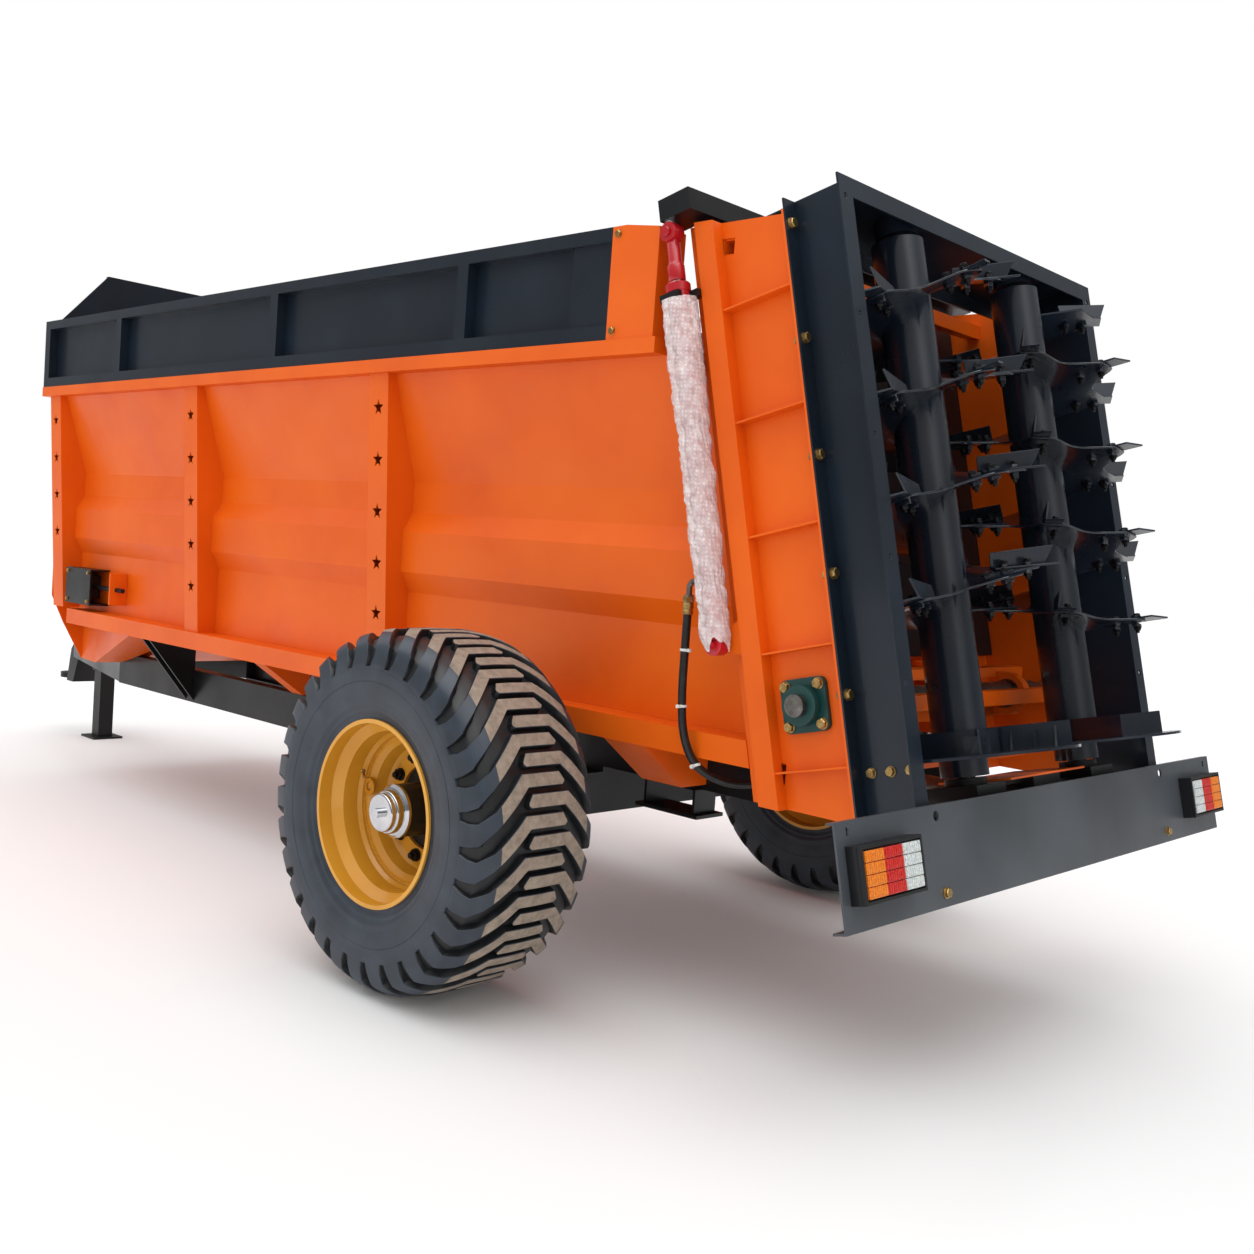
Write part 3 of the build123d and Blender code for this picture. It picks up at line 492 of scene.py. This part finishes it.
# %% Tyre outline
OUTLINE = [(585, 0), (582, 120), (568, 183), (536, 224), (463, 240), (430, 239), (390, 235.5), (345, 226),
           (307, 212)]
LUG_UPPER = [(-74, -2.5), (-58, 0), (0, 0), (86, 0), (137, -5), (188, -10), (245, -13.4), (280, -13.4),
             (310, -12.2)]
LUG_LOWER = [(-74, -3.2), (-66, -4), (0, -4), (70, -4), (129, -9.8), (188, -15.6), (240, -20.2), (280, -21.2),
             (310, -21.3)]
LUGS = 30
LUG_PHASE = 3.04
GROOVE = [(0, 24), (120, 24.5), (184, 26), (236, 21), (290, 12), (311, 9)]

run = [0.0]
for (r0, y0), (r1, y1) in zip(OUTLINE, OUTLINE[1:]):
    run.append(run[-1] + math.hypot(r1 - r0, y1 - y0))
full_run = [-s for s in run[:0:-1]] + run
full_line = [(r, -y) for r, y in OUTLINE[:0:-1]] + OUTLINE
FINE = np.arange(-run[-1], run[-1] + 1, 1.0)
fine_r = np.interp(FINE, full_run, [p[0] for p in full_line])
fine_y = np.interp(FINE, full_run, [p[1] for p in full_line])
window = np.ones(33) / 33
SMOOTH_R, SMOOTH_Y = fine_r.copy(), fine_y.copy()
SMOOTH_R[16:-16] = np.convolve(fine_r, window, "valid")
SMOOTH_Y[16:-16] = np.convolve(fine_y, window, "valid")
SLOPE_R, SLOPE_Y = np.gradient(SMOOTH_R), np.gradient(SMOOTH_Y)


def on_tyre(s, angle, depth):
    """A point at outline distance s, an angle in degrees and a depth under the outline, in mm."""
    r, y = np.interp(s, FINE, SMOOTH_R), np.interp(s, FINE, SMOOTH_Y)
    dr, dy = np.interp(s, FINE, SLOPE_R), np.interp(s, FINE, SLOPE_Y)
    size = math.hypot(dr, dy)
    r, y = r - depth * dy / size, y + depth * dr / size
    a = math.radians(angle)
    return Vector((r * math.sin(a), y, r * math.cos(a))) * MM


def groove_depth(s):
    return float(np.interp(abs(s), [p[0] for p in GROOVE], [p[1] for p in GROOVE]))


print("outline length from the middle to the bead:", round(run[-1]), "mm")

# %% Tyre casing and lugs


def casing(bm, dust_and_shade):
    """The casing as turned rings: grooves under the tread, and sides with fine moulded rings."""
    places = [(s, groove_depth(s)) for s in np.linspace(-310, 310, 45)]
    side = [(311.5, 1.2), (313, 0.2)]
    for s in list(range(318, 352, 6)) + [356, 357.5, 359, 360.5] + list(range(366, 420, 7)):
        side.append((s, 1.3 if s in (357.5, 359) else 0.0))
    side += [(424, -1.8), (430, -2.2), (436, -1.8), (440, 0), (448, 0), (452, -1.4), (456, -1.4), (459, 0), (466, 0)]
    side = [p for p in side if p[0] < run[-1] - 1]
    line = [(-s, d) for s, d in side[::-1]] + places + side
    sectors = 180
    rings = []
    for k in range(sectors):
        angle = 360 * k / sectors
        ring = [bm.verts.new(on_tyre(s, angle, d)) for s, d in line]
        a = math.radians(angle)
        for r, y in [(307, 212), (292, 212), (292, 185), (320, 185), (425, 206), (505, 175), (532, 110),
                     (532, -110), (505, -175), (425, -206), (320, -185), (292, -185), (292, -212), (307, -212)]:
            ring.append(bm.verts.new(Vector((r * math.sin(a), y, r * math.cos(a))) * MM))
        rings.append(ring)
    count = len(rings[0])
    for k in range(sectors):
        first, second = rings[k], rings[(k + 1) % sectors]
        for j in range(count):
            n = (j + 1) % count
            face = bm.faces.new((first[j], first[n], second[n], second[j]))
            s = line[j][0] if j < len(line) else 999
            # the tread floor between the lugs (0) gets the painted groove shade, the sides (0.5) their own grey
            face[dust_and_shade] = 0.0 if abs(s) <= 308 else 0.5


def lug(bm, dust_and_shade, phase, side):
    """One lug as a ribbon of cross sections from its tip to its foot on the tyre's side."""
    stations = []
    for j in range(len(LUG_UPPER) - 1):
        u0, u1, l0, l1 = LUG_UPPER[j], LUG_UPPER[j + 1], LUG_LOWER[j], LUG_LOWER[j + 1]
        steps = max(1, round(abs(u1[0] - u0[0]) / 15))
        for k in range(steps):
            t = k / steps
            stations.append((np.add(u0, np.subtract(u1, u0) * t), np.add(l0, np.subtract(l1, l0) * t)))
    stations.append((np.array(LUG_UPPER[-1]), np.array(LUG_LOWER[-1])))
    stations.append((np.array([314.0, -12.2]), np.array([314.0, -21.3])))
    rings = []
    for upper, lower in stations:
        radius = float(np.interp((upper[0] + lower[0]) / 2, FINE, SMOOTH_R))
        per_degree = radius * math.pi / 180
        across = np.array([lower[0] - upper[0], (lower[1] - upper[1]) * per_degree])
        across = across / np.hypot(*across)
        step = np.array([across[0], across[1] / per_degree])
        foot = groove_depth(upper[0]) + 3
        last = upper[0] > 311
        cut = 0.8 if last else 0.0
        wall = min(4.5, foot * 0.25)
        places = [(upper - step * wall, foot), (upper - step * 0.7, 2.0 + cut), (upper + step * 1.3, cut),
                  ((upper + lower) / 2, cut), (lower - step * 1.3, cut), (lower + step * 0.7, 2.0 + cut),
                  (lower + step * wall, foot)]
        ring = []
        for (s, angle), depth in places:
            point = on_tyre(s, angle, depth)
            point.y *= side
            turn = Matrix.Rotation(math.radians(phase), 3, "Y")
            ring.append(bm.verts.new(turn @ point))
        rings.append(ring)
    # lug walls and ends (0.05) get the painted groove shade, the chamfers grey, the tops dust
    marks = [0.05, 0.42, 1.0, 1.0, 0.42, 0.05]
    for (first, second), (upper, _) in zip(zip(rings, rings[1:]), stations):
        for k in range(6):
            face = bm.faces.new((first[k], first[k + 1], second[k + 1], second[k]))
            face[dust_and_shade] = min(marks[k], 0.5) if abs(upper[0]) > 158 else marks[k]
    for end in (rings[0], rings[-1]):
        bm.faces.new(end)[dust_and_shade] = 0.05


def tyre(bm):
    dust_and_shade = bm.faces.layers.float.new("dust_and_shade")
    casing(bm, dust_and_shade)
    for i in range(LUGS):
        lug(bm, dust_and_shade, LUG_PHASE + 360 / LUGS * i, 1)
        lug(bm, dust_and_shade, LUG_PHASE + 360 / LUGS * (i + 0.5), -1)


for side, flip in SIDES.items():
    body = "wheel_" + side
    middle = flip @ AXLE
    made = piece("tread_" + side, tyre, TYRE, angle=32)
    made.data.transform(flip)
    if side == "right":
        made.data.flip_normals()
    made.location = middle
    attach(made, body)
    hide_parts("tyre_" + side)
    print(made.name, len(made.data.polygons), "faces")

# %% [markdown]
# ## Wheel nuts, valve guard and rim weld
#
# Ten studs hold each wheel. The nuts are dark, each on a washer, with two threads of stud past
# it. A bent guard on the rim protects the tyre valve, and the disc is welded to the rim.

# %% Wheel fittings


def wheel_nuts(bm, flip):
    for i in range(10):
        a = math.radians(36 * i + 24)
        point = AXLE + Vector((167.5 * math.sin(a), 0.2, 167.5 * math.cos(a))) * MM
        lathe(bm, flip @ facing(point, OUT), [(21, 0), (21, 2.5), (19.5, 3.5)], 28)
        bolt(bm, flip @ facing(point + OUT * 3 * MM, OUT), 20, stud=11, turn=a)


def valve_guard(bm, flip):
    """A ring lug on a short foot, beside the valve."""
    a = math.radians(81)
    spoke = Vector((math.sin(a), 0, math.cos(a)))
    centre = AXLE + spoke * (224 * MM) + OUT * (66 * MM)
    place = flip @ facing(centre, OUT)
    rings = []
    for inner, outer, h in ((14, 29, 0), (14, 29, 8)):
        rings.append([[place @ (Vector((r * math.cos(t), r * math.sin(t), h)) * MM) for t in
                       [2 * math.pi * k / 36 for k in range(36)]] for r in (inner, outer)])
    loops = [[bm.verts.new(p) for p in ring] for ring in (rings[0][0], rings[0][1], rings[1][1], rings[1][0])]
    skin(bm, loops + [loops[0]], capped=False)
    turn = Matrix((Vector((math.cos(a), 0, -math.sin(a))), OUT, spoke)).transposed().to_4x4()
    slab(bm, flip @ Matrix.Translation(centre) @ turn, (-18, 0.5, 22), (18, 7.5, 34))


def valve(bm, flip):
    a = math.radians(70)
    spoke = Vector((math.sin(a), 0, math.cos(a)))
    base = AXLE + spoke * (252 * MM) + OUT * (88 * MM)
    lean = (OUT * 0.5 - spoke).normalized()
    lathe(bm, flip @ facing(base, lean), [(8, -4), (8, 3), (4, 6), (4, 34), (5, 34), (5, 44), (4.4, 45)], 18)


def rim_weld(bm, flip):
    points = []
    for k in range(73):
        a = math.radians(5 * k)
        points.append(flip @ (AXLE + Vector((245 * math.sin(a), 67.5, 245 * math.cos(a))) * MM))
    bead(bm, points, 3.6, seed=5)


for side, flip in SIDES.items():
    body = "wheel_" + side
    middle = flip @ AXLE
    piece("wheel_nuts_" + side, lambda bm: wheel_nuts(bm, flip), DARK_STEEL, body, middle)
    piece("valve_guard_" + side, lambda bm: valve_guard(bm, flip), YELLOW, body, middle, bevel=1.5)
    piece("valve_" + side, lambda bm: valve(bm, flip), BRASS, body, middle)
    piece("rim_weld_" + side, lambda bm: rim_weld(bm, flip), YELLOW, body, middle, angle=80)
print("wheel fittings on both sides")

# %% [markdown]
# ## Bolts
#
# The beater channels, bearings and corner plates are bolted on. Each row below is a place, a
# direction and a thread diameter. The bolts are zinc plated.

# %% Structural bolts
BOLTS = [(rear(188.6, 777, z), BACK, 16) for z in (2547, 2208, 1869, 1530, 1191)]
NUTS = [(rear(201.4, 777, z), AHEAD, 16) for z in (2208, 1869, 1530, 1191)]
BOLTS += [(rear(x, 747.3, 972), OUT, 14) for x in (36, 98, 160)]
BOLTS += [(spot(-347, 822.2, z), OUT, 12) for z in (2465, 2159)]
BOLTS += [(rear(-27.4, 753, 648), BACK, 14)]
turn = REAR.to_3x3()
for dx in (-57, 57):
    for dz in (-57, 57):
        offset = turn @ Vector((dx * MM, 0, dz * MM))
        BOLTS.append((spot(-1170, 771.3, 1063.5) + offset, OUT, 16))
BOLTS += [(spot(x, 760.2, z), OUT, 10) for x in (3520, 3768) for z in (985, 1137)]


def bolts(bm, flip):
    dice = random.Random(3)
    for point, direction, d in BOLTS:
        bolt(bm, flip @ facing(point, direction), d, turn=dice.uniform(0, 1))
    for point, direction, d in NUTS:
        bolt(bm, flip @ facing(point, direction), d, stud=7, turn=dice.uniform(0, 1))


for side, flip in SIDES.items():
    piece("bolts_" + side, lambda bm: bolts(bm, flip), ZINC, "chassis")
print(len(BOLTS) + len(NUTS), "bolts a side")

# %% [markdown]
# ## Beater flights and blades
#
# Each beater carries a helical flight whose rim is cut back between the blades, so every blade
# stands on its own lobe. There are six blades a turn. Every second one is an angle whose two legs
# are cut to points, and the ones between are flat bars. Two bolts through small clamp blocks hold
# each blade, so it can be changed when it is worn. The two flights are of opposite hand, and the
# right one starts lower and climbs a little less in each turn.

# %% Flight mesh
LOBE_R, WAIST_R, ROOT_R, PLATE = 290, 212, 77, 6
BLADE_STEP, LOBE_HALF, PITCH_R = 60, 7, 240
BEATER_X, BEATER_Y = 88, 375
# side: y, phase in degrees, hand, height of the foot, turns, rise in a turn
BEATERS = {
    "left": (BEATER_Y, 44, 1, 1370, 3.5, 293),
    "right": (-BEATER_Y, 180, -1, 1349, 3.9, 282),
}


def beater_place(side):
    """The frame at the foot of a beater's flight, turned to its phase, and mirrored on the right."""
    y, phase, hand, foot = BEATERS[side][:4]
    place = REAR @ Matrix.Translation(Vector((BEATER_X, y, foot)) * MM)
    return place @ Matrix.Rotation(math.radians(phase), 4, "Z") @ Matrix.Scale(hand, 4, (0, 1, 0))


def rim_radius(angle):
    """Full radius at a blade, and a concave waist between two blades."""
    off = abs((angle + BLADE_STEP / 2) % BLADE_STEP - BLADE_STEP / 2)
    if off < LOBE_HALF:
        return LOBE_R
    return WAIST_R + (LOBE_R - WAIST_R) * ((BLADE_STEP / 2 - off) / (BLADE_STEP / 2 - LOBE_HALF)) ** 1.8


def flight(bm, side):
    rings, place = [], beater_place(side)
    turns, lead = BEATERS[side][4:]
    for k in range(int(turns * 120) + 1):
        angle = 3 * k
        a = math.radians(angle)
        z = lead * angle / 360
        outer = rim_radius(angle)
        middle = ROOT_R * 0.5 + outer * 0.5
        line = [(ROOT_R, 0), (middle, 0), (outer - 1, 0), (outer, 1), (outer, PLATE - 1), (outer - 1, PLATE),
                (middle, PLATE), (ROOT_R, PLATE)]
        points = [Vector((r * math.cos(a), r * math.sin(a), z + h)) * MM for r, h in line]
        rings.append([bm.verts.new(place @ point) for point in points])
    skin(bm, rings)


def blade_places(side):
    turns, lead = BEATERS[side][4:]
    for k in range(int(turns * 360 / BLADE_STEP) + 1):
        angle = BLADE_STEP * k
        up = Matrix.Translation(Vector((0, 0, (lead * angle / 360 + PLATE) * MM)))
        pitch = Matrix.Rotation(math.atan(lead / (2 * math.pi * PITCH_R)), 4, "X")
        yield beater_place(side) @ up @ Matrix.Rotation(math.radians(angle), 4, "Z") @ pitch


def prism(bm, place, outline, low, high):
    """An (x, z) outline in mm carried along the frame's y axis."""
    rings = [[bm.verts.new(place @ (Vector((x, y, z)) * MM)) for x, z in outline] for y in (low, high)]
    skin(bm, rings)


def blades(bm, side):
    """Angle blades whose two legs are cut to points, and flat bars between them."""
    for k, place in enumerate(blade_places(side)):
        foot = [(160, -26), (352, -26), (322, 28), (160, 28)]
        rings = [[bm.verts.new(place @ (Vector((x, y, z)) * MM)) for x, y in foot] for z in (0.5, 6.5)]
        skin(bm, rings)
        if k % 2 == 1:
            prism(bm, place, [(160, 6.5), (160, 50), (352, 56), (322, 6.5)], 22, 28)


def blade_clamps(bm, side):
    for place in blade_places(side):
        for r in (182, 252):
            slab(bm, place, (r, -20, 6.5), (r + 15, 20, 16))
            slab(bm, place, (r - 1, -22, -18), (r + 16, 14, -PLATE - 0.5))


def blade_bolts(bm, side):
    for place in blade_places(side):
        for r in (190, 260):
            bolt(bm, place @ Matrix.Translation(Vector((r, -8, 16)) * MM), 12, turn=r)
            under = Matrix.Translation(Vector((r, -8, -18)) * MM) @ Matrix.Rotation(math.pi, 4, "X")
            bolt(bm, place @ under, 12, stud=9)


def disc_braces(bm, flip):
    """Triangular plates that hold the paddles of the spreading disc up."""
    for i in range(4):
        turned = Matrix.Rotation(math.radians(90 * i + 20), 4, "Z")
        place = REAR @ Matrix.Translation(Vector((BEATER_X, BEATER_Y, 993)) * MM) @ turned
        for x in (20, 130, 255):
            rings = [[bm.verts.new(flip @ place @ (Vector((x + w, y, z)) * MM)) for y, z in
                      ((94.5, 0), (94.5, 56), (60, 0))] for w in (0, 6)]
            skin(bm, rings)


for side, flip in SIDES.items():
    body = "beater_" + side
    middle = flip @ rear(BEATER_X, BEATER_Y, 1400)
    made = piece("flight_" + side, lambda bm: flight(bm, side), BEATER, body, middle, angle=40)
    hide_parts("beater_flight_" + side)
    piece("blades_" + side, lambda bm: blades(bm, side), BLADE, body, middle, bevel=0.8)
    piece("blade_clamps_" + side, lambda bm: blade_clamps(bm, side), BEATER, body, middle, bevel=1.0)
    piece("blade_bolts_" + side, lambda bm: blade_bolts(bm, side), DARK_STEEL, body, middle)
    piece("disc_braces_" + side, lambda bm: disc_braces(bm, flip), BEATER, body, middle)
print("blades per beater:", len(list(blade_places("left"))))

# %% [markdown]
# ## Tail lamps
#
# Each lamp has three columns of moulded lenses: amber at the outside, red in the middle and clear
# inside. Each column is four pads with fine ribs that spread the light.

# %% Lamps
LENS_Y, LENS_Z = (925, 1175), (689, 804)
ROWS = 4


def lamp_case(bm, flip):
    """A box with a rim that stands round the lenses."""
    (y0, y1), (z0, z1) = LENS_Y, LENS_Z
    slab(bm, flip @ REAR, (-60, y0 - 13, z0 - 13), (-27.2, y1 + 13, z1 + 13))
    for low, high in (((y0 - 13, z0 - 13), (y0 - 4, z1 + 13)), ((y1 + 4, z0 - 13), (y1 + 13, z1 + 13)),
                      ((y0 - 4, z0 - 13), (y1 + 4, z0 - 4)), ((y0 - 4, z1 + 4), (y1 + 4, z1 + 13))):
        slab(bm, flip @ REAR, (-72, *low), (-60, *high))


def lens_pads(bm, flip, column):
    width = (LENS_Y[1] - LENS_Y[0]) / 3
    height = (LENS_Z[1] - LENS_Z[0]) / ROWS
    y = LENS_Y[0] + width * column
    for row in range(ROWS):
        z = LENS_Z[0] + height * row
        slab(bm, flip @ REAR, (-73.5, y + 1.5, z + 0.8), (-60.4, y + width - 1.5, z + height - 0.8))
        for k in range(8):
            low = y + 4.2 + 9.5 * k
            slab(bm, flip @ REAR, (-75.6, low, z + 3), (-73, low + 7.6, z + height - 3))


for side, flip in SIDES.items():
    case = piece("lamp_case_" + side, lambda bm: lamp_case(bm, flip), BLACK, "chassis", bevel=1.2)
    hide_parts("lamps")
    for column, finish in enumerate((CLEAR, LENS_RED, AMBER)):
        made = piece(f"lens_{side}_{column}", lambda bm: lens_pads(bm, flip, column), finish, "chassis", bevel=0.9)
        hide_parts("lamp_lenses")
print("two lamps, each of 3 columns and", ROWS, "rows")

# %% [markdown]
# ## Hoses
#
# A rubber hose leaves an elbow at the foot of each door cylinder, hangs down the side of the body
# and goes in behind the sill. Its line is a smooth curve through the same points as the CAD tube.
# White ties hold it.

# %% Hoses and ties
HOSE_LINE = [(-735, 800, 1320), (-735, 800, 1180), (-741, 806, 1040), (-755, 804, 915), (-785, 770, 820),
             (-830, 690, 775), (-870, 600, 765), (-905, 520, 790), (-925, 440, 790)]


def hose_curve(name, flip):
    curve = bpy.data.curves.new(name, "CURVE")
    curve.dimensions = "3D"
    curve.bevel_depth = 13 * MM
    curve.bevel_resolution = 6
    curve.resolution_u = 10
    curve.use_fill_caps = True
    spline = curve.splines.new("NURBS")
    spline.points.add(len(HOSE_LINE) - 1)
    for point, place in zip(spline.points, HOSE_LINE):
        point.co = (*(flip @ spot(*place)), 1.0)
    spline.order_u = 3
    spline.use_endpoint_u = True
    curve.materials.append(HOSE)
    obj = bpy.data.objects.new(name, curve)
    scene.collection.objects.link(obj)
    return obj, spline.calc_length()


def ties(bm, flip):
    for x, y, z, lean_x in ((-735.4, 800.3, 1176, 0), (-745, 805.2, 1005, 0.10), (-787, 768, 825, 0.6)):
        place = flip @ facing(spot(x, y, z), Vector((lean_x, 0, 1)))
        lathe(bm, place, [(13.2, -4), (15.6, -4), (15.6, 4), (13.2, 4)], 28)
        slab(bm, place, (11, -6, -5), (22, 6, 5))


def crimp(bm, flip):
    """The swaged steel collar and its nut at the top of the hose."""
    place = flip @ facing(spot(-735, 800, 1322), Vector((0, 0, 1)))
    lathe(bm, place, [(14.5, -38), (17, -36), (17, -26), (16, -25), (16, -20), (17, -19), (17, -4), (15.5, -2)], 28)
    lathe(bm, place, [(18.5, 0), (18.5, 17), (17, 19)], 6)


for side, flip in SIDES.items():
    hose, length = hose_curve("rubber_hose_" + side, flip)
    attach(hose, "chassis")
    tie = piece("cable_ties_" + side, lambda bm: ties(bm, flip), NYLON, "chassis")
    collar = piece("hose_crimp_" + side, lambda bm: crimp(bm, flip), ZINC, "chassis")
    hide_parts("hose_" + side)
    print(hose.name, "length", round(length, 3), "m")

# %% [markdown]
# ## Rod ends
#
# The end of each door cylinder's rod is a red forging: a collar, a neck and an eye, pinned under
# the crossbar. It slides with the door.

# %% Rod ends and gland
CYLINDER_X, CYLINDER_Y, EYE_Z = 590, 825, 2655


def rod_end(bm, flip):
    foot = flip @ REAR @ Matrix.Translation(Vector((CYLINDER_X, CYLINDER_Y, 0)) * MM)
    lathe(bm, foot, [(20.3, 2500), (25, 2501), (27, 2505), (27, 2548), (24, 2554), (21, 2562), (21, 2640),
                     (20.3, 2641)], 32)
    eye = flip @ facing(rear(CYLINDER_X, CYLINDER_Y - 24, EYE_Z), OUT)
    lathe(bm, eye, [(29, 0), (31, 3), (31, 45), (29, 48)], 32)
    pin = flip @ facing(rear(CYLINDER_X, CYLINDER_Y - 33, EYE_Z), OUT)
    lathe(bm, pin, [(12, 0), (14, 2), (14, 64), (12, 66)], 24)


def gland(bm, flip):
    foot = flip @ REAR @ Matrix.Translation(Vector((CYLINDER_X, CYLINDER_Y, 0)) * MM)
    lathe(bm, foot, [(37.2, 2462), (39, 2464), (39, 2488), (36, 2492), (28, 2494)], 36)


for side, flip in SIDES.items():
    piece("rod_end_" + side, lambda bm: rod_end(bm, flip), RED, "door")
    piece("gland_" + side, lambda bm: gland(bm, flip), RED, "chassis")
print("rod ends on both cylinders")

# %% [markdown]
# ## Bubble film
#
# The cylinders were wrapped in bubble film for transport. It is a soft sheet rolled once round
# the barrel with some overlap. It is drawn in at two places, creased all over, and ragged at the
# foot. Creases are sums of waves with random phases, so no two run alike.

# %% Film
FILM_TOP, FILM_FOOT = 2440.0, 1384.0
FILM_RADIUS = [(1384, 38), (1412, 42), (1450, 45), (1530, 42), (1560, 38), (1600, 43), (1700, 47), (1850, 46),
               (1990, 47), (2025, 41), (2060, 49), (2200, 53), (2380, 54), (2425, 52), (2440, 51)]
PINCHES = (2025, 1560)
FILM_TURNS, FILM_START = 1.14, 0.7
FILM_SEED = {"left": 11, "right": 23}


def film(bm, flip, seed):
    dice = random.Random(seed)
    waves = []
    for size, height in ((150, 2.0), (90, 1.8), (52, 1.6), (30, 1.1), (17, 0.7)):
        for _ in range(5):
            around = dice.randint(1, 3) if size > 80 else dice.randint(3, 11)
            waves.append((2 * math.pi / (size * dice.uniform(0.8, 1.3)), around, dice.uniform(0, 6.28), height / 2.2))
    rows, columns = 190, 96
    grid = []
    for i in range(rows + 1):
        t = i / rows
        line = []
        for j in range(columns + 1):
            turn_part = j / columns * FILM_TURNS
            a = 2 * math.pi * turn_part + FILM_START
            ragged = 16 * math.sin(3 * a + 1.0) + 9 * math.sin(7 * a) if t > 0.93 else 0.0
            z = FILM_TOP + (FILM_FOOT - FILM_TOP) * t + ragged * (t - 0.93) / 0.07
            r = float(np.interp(z, [p[0] for p in FILM_RADIUS], [p[1] for p in FILM_RADIUS]))
            crease = sum(h * math.sin(k * z + n * a + p) for k, n, p, h in waves)
            pinch = min(abs(z - p) for p in PINCHES) < 40
            pleat = (2.2 if pinch else 0.5) * math.sin(19 * a + 0.05 * z)
            gap = 2.2 * turn_part
            r = max(r + crease * 0.8 + pleat + gap, 35.2 + gap)
            place = rear(CYLINDER_X + r * math.cos(a), CYLINDER_Y + r * math.sin(a), z)
            line.append(bm.verts.new(flip @ place))
        grid.append(line)
    for upper, lower in zip(grid, grid[1:]):
        for j in range(columns):
            bm.faces.new((upper[j], upper[j + 1], lower[j + 1], lower[j]))


for side, flip in SIDES.items():
    made = piece("bubble_film_" + side, lambda bm: film(bm, flip, FILM_SEED[side]), FILM, "chassis", angle=180)
    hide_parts("cylinder_wrap_" + side)

# %% [markdown]
# ## Studio
#
# A pale floor, a white background, and soft light from all round with a wide sun above. The white
# is only for the camera. Reflections see a grey that is brightest overhead, and the light that
# falls on the machine is strongest from low down, so its shadow stays pale.

# %% Floor, world and lamps


def stage_floor():
    mesh = bpy.data.meshes.new("floor")
    size = 60
    mesh.from_pydata([(-size, -size, 0), (size, -size, 0), (size, size, 0), (-size, size, 0)], [], [(0, 1, 2, 3)])
    floor = bpy.data.objects.new("floor", mesh)
    scene.collection.objects.link(floor)
    material, tree, shader, _ = new_material("studio_floor")
    shader.inputs["Base Color"].default_value = (0.86, 0.86, 0.86, 1)
    shader.inputs["Roughness"].default_value = 0.9
    mesh.materials.append(material)


def world_light(strength, mirrored):
    """White for the camera, a graded grey for reflections, and soft light for everything else."""
    world = bpy.data.worlds.new("studio")
    scene.world = world
    world.use_nodes = True
    tree = world.node_tree
    tree.nodes.clear()
    out = add(tree, "ShaderNodeOutputWorld")
    path = add(tree, "ShaderNodeLightPath")
    way = add(tree, "ShaderNodeSeparateXYZ", Vector=add(tree, "ShaderNodeTexCoord").outputs["Generated"])
    height = math_node(tree, "ADD", math_node(tree, "MULTIPLY", way.outputs["Z"], 0.5), 0.5)
    cards = math_node(tree, "ADD", math_node(tree, "MULTIPLY", way.outputs["Y"], 0.5), 0.5)
    sky = ramp(tree, height, [(0.48, 0.07), (0.54, 0.16), (0.72, 0.42), (0.88, 1.0)])
    card = ramp(tree, cards, [(0.30, 0.35), (0.62, 1.0), (0.80, 0.45)])
    shown = math_node(tree, "MULTIPLY", math_node(tree, "MULTIPLY", sky, card), mirrored)
    gloss = add(tree, "ShaderNodeBackground", {"Color": (1, 1, 1, 1)}, Strength=shown)
    around = math_node(tree, "MULTIPLY", ramp(tree, height, [(0.50, 1.0), (0.68, 0.72), (1.0, 0.50)]), strength)
    light = add(tree, "ShaderNodeBackground", {"Color": (1, 1, 1, 1)}, Strength=around)
    white = add(tree, "ShaderNodeBackground", {"Color": (1, 1, 1, 1), "Strength": 1.0})
    glossy, seen = path.outputs["Is Glossy Ray"], path.outputs["Is Camera Ray"]
    soft = add(tree, "ShaderNodeMixShader", i0=glossy, i1=light.outputs[0], i2=gloss.outputs[0])
    mix = add(tree, "ShaderNodeMixShader", i0=seen, i1=soft.outputs[0], i2=white.outputs[0])
    tree.links.new(mix.outputs[0], out.inputs[0])


def soft_sun(name, place, aim, strength, spread):
    """A distant lamp with a wide disc, so its shadows fade out softly."""
    data = bpy.data.lights.new(name, "SUN")
    data.energy = strength
    data.angle = math.radians(spread)
    lamp = bpy.data.objects.new(name, data)
    scene.collection.objects.link(lamp)
    lamp.rotation_mode = "QUATERNION"
    lamp.rotation_quaternion = (Vector(aim) - Vector(place)).to_track_quat("-Z", "Y")


stage_floor()
world_light(1.35, 2.2)
soft_sun("sky_glow", (-0.4, 0.9, 6.0), (0, 0, 0), 1.5, 66)
scene.view_settings.view_transform = "Standard"
print("studio ready")
